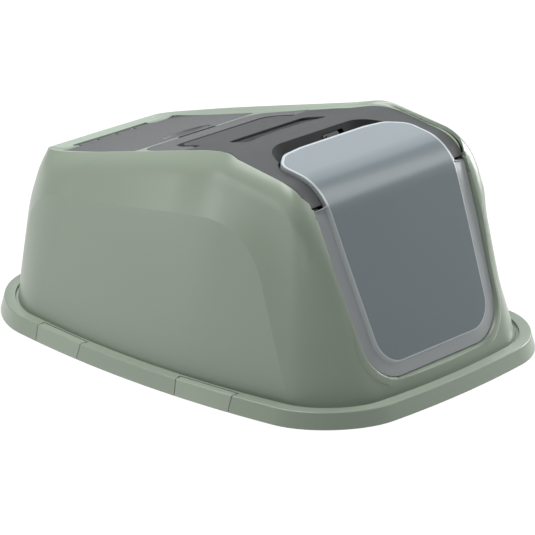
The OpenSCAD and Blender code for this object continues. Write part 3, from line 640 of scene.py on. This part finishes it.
# Arched field in each side wall; the body falls away round it by FIELD_SLOPE
FIELD_SLOPE = 0.15
ARCH = outline([(-202, 13, 0), (240, 13, 0), (206, 142.5, 62), (-129.5, 189, 80)], 24)


def arch_distance(y, z):
    """Distance outside the arch (negative within), in the side view."""
    a, b = ARCH, np.roll(ARCH, -1, 0)
    d = np.full(len(y), 1e9)
    inside = np.zeros(len(y), bool)
    for p, q in zip(a, b):
        e = q - p
        t = np.clip(((y - p[0]) * e[0] + (z - p[1]) * e[1]) / (e @ e), 0, 1)
        if p[1] > 13.5 or q[1] > 13.5:
            d = np.minimum(d, np.hypot(y - p[0] - t * e[0], z - p[1] - t * e[1]))
        if (p[1] > 0) and ((p[1] > z) != (q[1] > z)).any():
            x = p[0] + (z - p[1]) / (e[1] if abs(e[1]) > 1e-9 else 1e-9) * e[0]
            inside ^= ((p[1] > z) != (q[1] > z)) & (y < x)
    return np.where(inside, -d, d)


def fall_away(rows, first, last):
    """Side walls moved in round the arch, and out within it, to be cut there."""
    for j in range(first, last):
        ring = rows[j]
        nxt, prv = np.roll(ring, -1, 0), np.roll(ring, 1, 0)
        n = np.c_[nxt[:, 1] - prv[:, 1], prv[:, 0] - nxt[:, 0]]
        n /= np.linalg.norm(n, axis=1)[:, None]
        d = arch_distance(ring[:, 1], ring[:, 2])
        front = 1 - smooth(-215, -110, ring[:, 1])
        slope, reach = FIELD_SLOPE * (1 + 0.5 * front), 46 + 20 * front
        fade = smooth(0, 34, crown_z(ring[:, 1]) - ring[:, 2]) * (0.3 + 0.7 * smooth(20, 80, ring[:, 2]))
        out = slope * d * (1 - np.minimum(1, d / reach) ** 2) * fade
        move = np.where(d > 0, out, np.maximum(slope * d, -7.0)) * smooth(0.15, 0.6, np.abs(n[:, 0]))
        ring[:, :2] -= n * move[:, None]
    return rows


def body(t, foot, drop):
    rows = hood_rows(t, foot, drop)
    walls = [j for j, w in enumerate(rows) if w[:, 2].min() > RIM_H][:1][0]
    round_body = skin(fall_away([w.copy() for w in rows], walls, len(rows) - 5))
    return meet(skin(rows), round_body)


def make_hood():
    outer = body(0, FOOT, 0)
    inner = body(WALL, -1, WALL + PANEL_T + SEAT)
    # walls round the pockets
    pocket = FLAP_T + SEAT
    backs = [meet(band(-pocket - WALL, 20), forward(shape(BORDER, GAP + WALL + 1))),
             meet(band(-GRILLE_FLOOR - WALL, 0), upright(shape(CRESCENT, WALL + 2))),
             on_top(shape(H_OUT, GAP + WALL), -7.3 - WALL, 33),
             box((-LEG - 3.6, -7.1, -6.6), (LEG + 3.6, 3.5, 33), at_run(RUN, -HANDLE_T / 2)),
             on_top(well(WALL), -24 - WALL, 36),
             box((-62, -10.8, -7), (62, 19.2, 33), at_run(HINGE_RUN, -KNUCKLE_R))]
    backs += [rod(5, *sided(LEG, LEG + 10, s), *H_AXIS) for s in (1, -1)]
    for b in backs:
        inner = cut(inner, b)
    # bead round the flap's foot and sides
    bead = []
    for out, h in ((13, -4), (12.6, 0.4), (11.2, 1.6), (8.5, 2.5), (5, 2.9), (1, 3.0)):
        points = [(x + out, (z - out - RIM_H) / math.cos(LEAN), r + out) for x, z, r in BORDER[:1]]
        points += [(x + out * 0.22, (z - RIM_H) / math.cos(LEAN), r) for x, z, r in BORDER[1:]]
        bead.append((outline(both(points), 20), h))
    outer = join(outer, meet(stack(bead, face_place), box((-160, -330, RIM_H + 1), (160, -90, NOTCH - 4))))
    hood = cut(outer, inner)
    # pockets and openings
    hood = cut(hood, meet(band(-pocket, 0.02), forward(shape(BORDER, GAP))))
    lo = outline(both([(x + GAP, (z - GAP - RIM_H) / math.cos(LEAN), r) for x, z, r in BORDER]), 20)
    hi = outline(both([(x, (z - RIM_H) / math.cos(LEAN), r) for x, z, r in LIP]), 20)
    rows = []
    for k in range(9):
        f = k / 8
        rows.append((lo + (hi - lo) * f ** 1.35, 9 * f))
    hood = cut(hood, stack(rows, face_place))
    hood = cut(hood, meet(band(-PANEL_T - SEAT, 20), upright(shape(PANEL, GAP / 2))))
    hood = cut(hood, meet(band(-GRILLE_FLOOR, 20), upright(shape(CRESCENT, 0.4))))
    hood = cut(hood, on_top(shape(H_OUT, GAP), -7.3, 33))
    hood = cut(hood, box((-LEG - GAP, -3.5 - GAP, -3.8), (LEG + GAP, 3.5, 36), at_run(RUN, -HANDLE_T / 2)))
    hood = cut(hood, on_top(shape(LID, GAP), -2.9, 37))
    hood = cut(hood, dimple(DIMPLE_R + 3.5))
    hood = cut(hood, box((-87, -12, -2.9), (87, -7.4, 37), at_run(HINGE_RUN)))
    hood = cut(hood, box((-57.4, -8, -4.2), (57.4, 6.2, 36), at_run(HINGE_RUN, -KNUCKLE_R)))
    hood = cut(hood, on_top(well(0), -24, 36))
    hood = cut(hood, on_top(shape(HATCH), -30, 30))
    hood = cut(hood, meet(band(-30, 30), forward(shape([(85, 51, 30), (92.8, 150, 60), (94.8, 190, 0)]))))
    hood = cut(hood, meet(band(-30, 30), upright(shape(DOME_PLAN, 1.6), 188)))
    hood = cut(hood, meet(band(-30, 30), upright(shape(SCOOP_RIM, 3.2), 188)))
    hood = cut(hood, box((-120.8, PIN[0] - 14, PIN[1] - 10), (120.8, PIN[0] + 8, PIN[1] + 8.6)))
    hood = cut(hood, box((-50, PAD_RUN - 14, -30), (50, PAD_RUN + 12, 10), top_place))
    # sockets and lugs
    solid = skin(hood_rows(0, FOOT, -8))
    for s in (1, -1):
        hood = join(hood, meet(rod(BOSS_R, *sided(120.8, 137, s), *PIN), solid, keep=True))
    for i in range(-2, 3):
        left, right = i * KNUCKLE_PITCH - LUG_HALF, i * KNUCKLE_PITCH + LUG_HALF
        lug = join(rod(KNUCKLE_R, left, right, *L_AXIS),
                   box((left, -KNUCKLE_R, -9.4), (right, KNUCKLE_R, 0), at_run(HINGE_RUN, -KNUCKLE_R)))
        hood = join(hood, meet(lug, solid, keep=True))
    bpy.data.objects.remove(solid)
    for s, p in PLACES:
        for e in (-1, 1):
            y = e * (CLIP_HALF + GAP + 3.4)
            bearing = [(-2.8, y - 3.4), (2.8, y - 3.4), (2.8, y + 3.4), (-2.8, y + 3.4)]
            hood = join(hood, clip_place(s, p, bearing, CLIP_Z - 2.6, CLIP_Z + 1.8, "z"))
    hood = cut(hood, rod(PIN_ROOM_R, -120.8, 120.8, *PIN))
    for s in (1, -1):
        hood = cut(hood, rod(3.05, *sided(120, 135, s), *PIN))
        hood = cut(hood, rod(2.55, *sided(LEG - 1, LEG + 9, s), *H_AXIS))
    hood = cut(hood, rod(1.52, -62, 62, *L_AXIS))
    for s, p in PLACES:
        hood = cut(hood, clip_window(s, p, GAP))
        hood = cut(hood, clip_place(s, p, disc(2.6, 0, CLIP_Z), -38.8, 38.8, "y"))
        hood = cut(hood, clip_place(s, p, disc(1.25, 0, CLIP_Z), -43, 43, "y"))
        hood = cut(hood, clip_place(s, p, [(-0.5, -38.8), (3.5, -38.8), (3.5, 38.8), (-0.5, 38.8)],
                                    CLIP_Z, CLIP_Z + 10, "z"))
    return hood


def well(grow):
    """Outline of the finger well between the handle and the lid."""
    a, b = INNER_RUN + 3, LID_RUN + 2
    p = outline([(30, a, 8), (30, b, 8), (-30, b, 8), (-30, a, 8)], 8)
    return grown(p, grow) if grow else p


def stack(rows, place):
    """Closed solid through outlines at rising heights."""
    n = len(rows[0][0])
    v = [place(p[0], p[1], h) for ring, h in rows for p in ring]
    f = [tuple(range(n - 1, -1, -1)), tuple(range((len(rows) - 1) * n, len(rows) * n))]
    for j in range(len(rows) - 1):
        f += [(j * n + i, j * n + (i + 1) % n, (j + 1) * n + (i + 1) % n, (j + 1) * n + i)
              for i in range(n)]
    return outward(mesh("stack", v, f))


hood = finish_piece(make_hood(), "hood", "hood_shell", sage, 30)
# A sharp crease where the arched fields meet the walls
co = np.array([v.co for v in hood.data.vertices]) * 1000
on_line = np.abs(arch_distance(co[:, 1], co[:, 2])) < 0.7
on_line &= (np.abs(co[:, 0]) > 100) & (co[:, 2] > RIM_H + 3)
for e in hood.data.edges:
    a, b = e.vertices
    if on_line[a] and on_line[b]:
        e.use_edge_sharp = True
# Faces deep in the pockets under the deck take the dark sage: painted shade, not a different plastic
paint_shade(hood, sage_painted_shade, lambda c, n: -25 < c.y < 222 and abs(c.x) < 84
       and 2.4 < surface_z(c.y, 0) - c.z < 14 and n.z > -0.9)


# ---------------------------------------------------------------- front panel
def turned_tail(angle):
    """The dome's tail, dipped by an angle about the flap's pivot."""
    t = meet(band(-30, DOME), dome_area(GAP))
    c, s = math.cos(math.radians(angle)), math.sin(math.radians(angle))
    for v in t.data.vertices:
        y, z = v.co.y * 1000 - PIN[0], v.co.z * 1000 - PIN[1]
        v.co.y, v.co.z = (PIN[0] + y * c + z * s) / 1000, (PIN[1] - y * s + z * c) / 1000
    return meet(t, box((-150, PIN[0] + 15, NOTCH), (150, PIN[0] + 115, NOTCH + 80)))


def make_panel():
    p = meet(band(-PANEL_T, 0), upright(shape(PANEL, -GAP / 2)))
    p = join(p, meet(band(-40, -PANEL_T + 0.1), scoop(2.2)))
    under_scoop = box((-84, SH[0] - 44, 193), (84, SH[0] + 16, 223))
    p = join(p, meet(rod(89.4, -84, 84, *PIN, n=180), under_scoop))
    p = cut(p, meet(band(-30, 10), dome_area(GAP)))
    p = cut(p, scoop(0))
    for k in range(1, 8):
        p = cut(p, turned_tail(0.8 * k))
    p = cut(p, rod(SCOOP_R, -76, 76, *PIN, n=180))
    p = cut(p, rod(PIN_ROOM_R, -140, 140, *PIN))
    p = cut(p, upright(shape(CRESCENT, 0.4)))
    return cut(p, box((-GAP, -4.2, -4), (32 + GAP, 4.2, 4), lock_place))


LOCK = np.array([SH[0] - 15.1, TOP - 10])
LOCK_A = math.radians(54.6)


def lock_place(x, y, z):
    return (8 + x, LOCK[0] + y * math.cos(LOCK_A) - z * math.sin(LOCK_A),
            LOCK[1] + y * math.sin(LOCK_A) + z * math.cos(LOCK_A))


panel = finish_piece(make_panel(), "front_panel_dressed", "front_panel", charcoal_panel, 30)
# The scoop's sunken faces take the near-black charcoal: painted shade in the recess
paint_shade(panel, charcoal_painted_shade, lambda c, n: c.y < SH[0] + 20 and abs(c.x) < 96
       and surface_z(c.y, 0) - c.z > 0.7)


# ----------------------------------------------------------------------- flap
def profile_at(u, h):
    """Point on the side profile by run u up from the face's foot, height h."""
    turn = math.pi / 2 - LEAN - RISE
    straight = np.linalg.norm(CORNER - FOOT_P) - BEND_R * math.tan(turn / 2)
    if u < straight:
        return FOOT_P + FACE_DIR * u + FACE_N * h
    if u < straight + BEND_R * turn:
        t = math.pi / 2 - LEAN - (u - straight) / BEND_R
        return BEND_C + (BEND_R + h) * np.array([-math.sin(t), math.cos(t)])
    s = BEND_C + BEND_R * RISE_N
    return s + RISE_DIR * (u - straight - BEND_R * turn) + RISE_N * h


def run_of_face(z):
    return (z - RIM_H) / math.cos(LEAN)


def run_of_top(y):
    turn = math.pi / 2 - LEAN - RISE
    straight = np.linalg.norm(CORNER - FOOT_P) - BEND_R * math.tan(turn / 2)
    s = BEND_C + BEND_R * RISE_N
    return straight + BEND_R * turn + (y - s[0]) / math.cos(RISE)


def resample(p, n):
    d = np.r_[0, np.cumsum(np.linalg.norm(np.diff(p, axis=0), axis=1))]
    t = np.linspace(0, d[-1], n)
    return np.c_[np.interp(t, d, p[:, 0]), np.interp(t, d, p[:, 1])]


def make_flap():
    """The flap's mesh, and how many points a ring of it has."""
    u_notch = run_of_face(NOTCH - 1)
    dome = [(88, run_of_face(42), 34), (98.3, run_of_face(153), 60), (101.8, run_of_face(205), 30),
            (101.8, run_of_top(FLAP_TOP - 20), 20), (79.8, run_of_top(FLAP_TOP - 3.5), 30),
            (49.8, run_of_top(FLAP_TOP), 60), (0, run_of_top(FLAP_TOP), 0)]
    d = outline([(0, run_of_face(42), 0)] + dome, 20)
    low = d[d[:, 1] <= u_notch]
    high = d[d[:, 1] > u_notch]
    at = np.array([np.interp(u_notch, [low[-1][1], high[0][1]], [low[-1][0], high[0][0]]), u_notch])
    count = 110
    low = resample(np.vstack([low, at]), count)
    high = resample(np.vstack([at, high]), count)[1:]
    b = outline([(0, run_of_face(30), 0), (101, run_of_face(30), 47), (116.4, run_of_face(148), 100),
                 (120, u_notch, 0)], 20)
    b = resample(b, count)
    inner = np.vstack([low, high])
    outer = np.vstack([b, resample(np.vstack([[120, u_notch], [at[0] + 0.001, u_notch]]), 2)[1:], high])
    if len(outer) != len(inner):
        outer = np.vstack([b, high])

    # rows: rounded outer edge, flat border, rounded step up, dome
    def ring(half, grow):
        full = np.vstack([half, np.c_[-half[::-1, 0], half[::-1, 1]][1:-1]])
        if not grow:
            return full
        nxt, prv = np.roll(full, -1, 0), np.roll(full, 1, 0)
        t = nxt - prv
        t /= np.maximum(1e-9, np.linalg.norm(t, axis=1))[:, None]
        return full + grow * np.c_[t[:, 1], -t[:, 0]]
    m = len(inner)
    top_share = np.zeros(m)
    top_share[count:] = 1
    top_share = np.r_[top_share, top_share[::-1][1:-1]]
    edge = ring(outer, 0)
    rows = []

    def add(p, h):
        heights = np.broadcast_to(h, len(p))
        rows.append(np.array([(q[0], *profile_at(q[1], up)) for q, up in zip(p, heights)]))

    low_h = np.where(top_share > 0, DOME, 0.0)
    add(ring(outer, -0.5), -FLAP_T)
    add(edge, -FLAP_T + 0.4)
    add(edge, low_h - 0.6)
    add(ring(outer, -0.25), low_h - 0.15)
    add(ring(outer, -0.7), low_h)
    for grow, h in ((0.6, 0.05), (0.0, 0.5), (-0.5, 1.8), (-1.0, 3.0), (-1.7, 3.75), (-2.8, DOME)):
        p = ring(inner, grow)
        # above the notch the border runs out: stay just inside the flap's own edge
        w = top_share[:, None]
        lim = ring(inner, min(grow, -0.9) - 0.1 * (1.7 - grow))
        add(p * (1 - w) + lim * w, np.where(top_share > 0, DOME, h))
    flat_in = ring(inner, -3.4)
    add(flat_in, DOME)
    top_rows = len(rows)
    add(flat_in, DOME - FLAP_T)
    for grow, h in ((-3.2, DOME - FLAP_T - 0.05), (-2.6, 0.6), (-2.2, -0.6), (-1.6, -1.8),
                    (-0.8, -FLAP_T + 0.02)):
        add(ring(inner, grow), h)
    for grow, w in ((-0.6, 0.5), (-0.55, 0.9)):
        a, c = ring(inner, grow), ring(outer, -0.52)
        p = a + (c - a) * w
        add(p, -FLAP_T)
    n = len(rows[0])
    v = np.vstack(rows)
    f = []
    R = len(rows)

    def strip(r, rev):
        for t in range(0, m - 1):
            a, b2 = t, t + 1
            am, bm = (n - a) % n, (n - b2) % n
            q = [r * n + a, r * n + b2, r * n + bm, r * n + am]
            q = [x for k, x in enumerate(q) if x not in q[:k]]
            if len(q) > 2:
                f.append(tuple(q[::-1]) if rev else tuple(q))

    def wallf(r0, r1):
        for k in range(n):
            k2 = (k + 1) % n
            f.append((r0 * n + k, r0 * n + k2, r1 * n + k2, r1 * n + k))
    for r in range(top_rows - 1):
        wallf(r, r + 1)
    strip(top_rows - 1, False)
    strip(top_rows, True)
    for r in range(top_rows, R - 1):
        wallf(r, r + 1)
    wallf(R - 1, 0)
    return outward(mesh("flap", v, f)), n


flap, flap_ring_n = make_flap()
finish_piece(flap, "flap_clear", "entry_flap", smoke, 38)
flap.data.materials.append(smoke_border)
flap.data.materials.append(smoke_painted_highlight)
# The first rows are the flap's border, the next ones the step up to its dome, whose whitish material is a
# painted highlight
for poly in flap.data.polygons:
    row = poly.index // flap_ring_n
    poly.material_index = 1 if row < 5 else 2 if row < 10 else 0
for s, word in ((1, "right"), (-1, "left")):
    ear = join(rod(EAR_R, *sided(109, 120, s), *PIN), rod(PIN_R, *sided(118, 134, s), *PIN))
    finish_piece(ear, "flap_pivot_" + word, "entry_flap", smoke, 38)


# --------------------------------------------------- lock, filter, handle, lid
lock = join(box((0, -3.4, -1.3), (24, 3.4, 1.2), lock_place), box((4, -1.2, 1), (20, 1.2, 3), lock_place))
lock = join(lock, box((0, -5.8, -2.4), (24, 5.8, -1.2), lock_place))
finish_piece(lock, "flap_lock_tab", "flap_lock", charcoal_smooth, 30)


def make_grille():
    g = meet(band(-4.6, -3.0), upright(shape(CRESCENT)))
    holes = []
    for i in range(-16, 17):
        for j in range(-6, 7):
            x, s = (i + (0.5 if j % 2 else 0)) * 3.3, PAD_RUN + 10.5 + j * 2.9
            inside = abs(x) < 49 and abs(j) < (3 if abs(x) < 40 else 4)
            if inside:
                holes.append((x, s))
    v, f = [], []
    for x, s in holes:
        b = len(v)
        for h in (-9, -1):
            for k in range(6):
                a = math.pi / 3 * k
                v.append(top_place(x + 0.95 * math.cos(a), s + 0.95 * math.sin(a), h))
        f += [(b + 5, b + 4, b + 3, b + 2, b + 1, b), tuple(b + 6 + k for k in range(6))]
        f += [(b + k, b + (k + 1) % 6, b + 6 + (k + 1) % 6, b + 6 + k) for k in range(6)]
    return cut(g, outward(mesh("holes", v, f)))


finish_piece(make_grille(), "vent_grille", "filter_grille", grille_charcoal, 30)
handle = on_top(shape(H_OUT), -HANDLE_T, 0)
handle = cut(handle, on_top(shape(H_IN), -9, 3))
for s in (1, -1):
    handle = join(handle, rod(HANDLE_T / 2, *sided(78.6, LEG, s), *H_AXIS))
    handle = join(handle, rod(HANDLE_PIN_R, *sided(LEG - 2, LEG + 8, s), *H_AXIS))
finish_piece(handle, "grip_handle", "carry_handle", charcoal, 30)


def make_lid():
    p = on_top(shape(LID), -PANEL_T, 0)
    p = cut(p, box((-58, -7, -9), (58, 13, 9), at_run(HINGE_RUN)))
    ring = cut(on_top(shape(HATCH, -1.2), -6.6, -1.6), on_top(shape(HATCH, -3.4), -20, 10))
    p = join(p, ring)
    p = join(p, meet(dimple(DIMPLE_R + 2.5), box((-60, 0, -9), (60, 40, -0.1), at_run(LID_RUN))))
    for i in (-1.5, -0.5, 0.5, 1.5):
        left, right = i * KNUCKLE_PITCH - 12.5, i * KNUCKLE_PITCH + 12.5
        p = join(p, join(rod(KNUCKLE_R, left, right, *L_AXIS),
                         box((left, -8, 0.8), (right, 0, KNUCKLE_R), at_run(HINGE_RUN, -KNUCKLE_R))))
    p = cut(p, dimple(DIMPLE_R))
    return cut(p, rod(1.56, -70, 70, *L_AXIS))


lid = finish_piece(make_lid(), "lid_dressed", "rear_lid", charcoal, 30)
# Faces round the hinge axis take the near-black charcoal: painted shadow between the knuckles
paint_shade(lid, charcoal_painted_shade, lambda c, n: math.hypot(c.y - L_AXIS[0], c.z - L_AXIS[1]) < 4
       and abs(c.x) < 58)
hinge_rod = rod(ROD_R, -ROD_HALF, ROD_HALF, *L_AXIS, n=32)
finish_piece(hinge_rod, "hinge_rod", "lid_hinge_rod", steel, 30)


# ---------------------------------------------------------------------- clips
def make_clip(s, p):
    def shell(t, foot):
        return skin(rim_rows(t, foot), cap_flat=True)
    c = meet(cut(shell(0, FOOT), shell(CLIP_T, -1)), clip_window(s, p, 0))
    hook = cut(shell(0, FOOT), shell(6, -1))
    hook = meet(hook, clip_place(s, p, [(0, -20), (30, -20), (30, 20), (0, 20)], 5.4, 7.6, "z"))
    c = join(c, hook)
    c = join(c, clip_place(s, p, disc(CLIP_KNUCKLE_R, 0, CLIP_Z), -CLIP_HALF, CLIP_HALF, "y"))
    return join(c, clip_place(s, p, disc(CLIP_PIN_R, 0, CLIP_Z), -42.5, 42.5, "y"))


for s, p in PLACES:
    word = ("front" if p < 0 else "rear") + ("_left" if s < 0 else "_right")
    finish_piece(make_clip(s, p), "snap_" + word, "clip_" + word, sage_clip, 30)


# ------------------------------------------------------------------------ pan
def make_pan():
    o = loft(rim_ring(-46), rim_ring(-38), 0, 92, place_xyz)
    o = cut(o, loft(rim_ring(-48.5), rim_ring(-40.5), 2.5, 92.1, place_xyz))
    return cut(o, along_x([(-300, 44), (-190, 44), (-140, 92), (-140, 150), (-300, 150)], -250, 250))


def make_flange():
    o = prism(rim_ring(-3.5), 8.4, 11.4, place_xyz)
    return cut(o, loft(rim_ring(-45.95), rim_ring(-37.95), 0, 92, place_xyz))


finish_piece(make_pan(), "pan", "litter_tray", pan_grey, 30)
finish_piece(make_flange(), "pan_flange", "tray_flange", pan_grey, 30)
for node, mat in (("filter_pad", foam), ("filter_holder", charcoal)):
    me = frame["nodes"][node].data
    me.materials.clear()
    me.materials.append(mat)

# --------------------------------------------------------- floor, light, camera
bpy.ops.mesh.primitive_plane_add(size=14, location=(0, 0, -0.0002))
floor = bpy.context.object
floor.name = "floor"
fm = bpy.data.materials.new("floor_white")
fm.use_nodes = True
fb = fm.node_tree.nodes["Principled BSDF"]
fb.inputs["Base Color"].default_value = (0.05, 0.05, 0.05, 1)
fb.inputs["Roughness"].default_value = 1.0
fb.inputs["Specular IOR Level"].default_value = 0.0
fb.inputs["Emission Color"].default_value = (1, 1, 1, 1)
fb.inputs["Emission Strength"].default_value = 1.0
floor.data.materials.append(fm)


def area(name, loc, target, size, power, colour=(1, 1, 1)):
    d = bpy.data.lights.new(name, "AREA")
    d.shape, d.size, d.size_y, d.energy, d.color = "RECTANGLE", size[0], size[1], power, colour
    o = bpy.data.objects.new(name, d)
    bpy.context.scene.collection.objects.link(o)
    o.location = loc
    o.rotation_euler = (Vector(target) - Vector(loc)).to_track_quat("-Z", "Y").to_euler()
    return o


area("key_top", (-0.3, 0.6, 2.4), (0, 0, 0.1), (1.8, 1.4), 72)
area("back_right", (1.9, 1.2, 1.7), (0, 0, 0.2), (2.2, 1.6), 18, (0.88, 0.95, 1.0))
area("left_wall", (-2.3, 1.9, 0.9), (0, 0, 0.12), (1.2, 1.4), 15.5)
area("right", (2.6, -0.5, 0.8), (0, 0, 0.12), (1.2, 1.2), 56)
area("front_top", (1.5, -1.5, 2.0), (0, 0, 0.12), (1.8, 1.4), 24)
world = bpy.data.worlds.new("studio")
bpy.context.scene.world = world
world.use_nodes = True
world.node_tree.nodes["Background"].inputs["Color"].default_value = (1, 1, 1, 1)
world.node_tree.nodes["Background"].inputs["Strength"].default_value = 0.16
bpy.context.scene.view_settings.view_transform = "Standard"

# The photograph's view: angles, distance in metres, and focal length and frame in pixels
AZ, EL, DIST = math.radians(-47.83), math.radians(19.65), 3.370
FOCAL_PX, FRAME_PX, SENSOR = 3110, 535, 36
target = Vector((0.0229, 0.0033, 0.0616))
back = Vector((math.sin(AZ) * math.cos(EL), -math.cos(AZ) * math.cos(EL), math.sin(EL)))
cam = bpy.data.cameras.new("camera")
cam.sensor_width, cam.lens = SENSOR, FOCAL_PX / FRAME_PX * SENSOR
cam.clip_start, cam.clip_end = 0.1, 50
cam_o = bpy.data.objects.new("camera", cam)
bpy.context.scene.collection.objects.link(cam_o)
cam_o.location = target + back * DIST
cam_o.rotation_euler = (-back).to_track_quat("-Z", "Y").to_euler()
bpy.context.scene.camera = cam_o
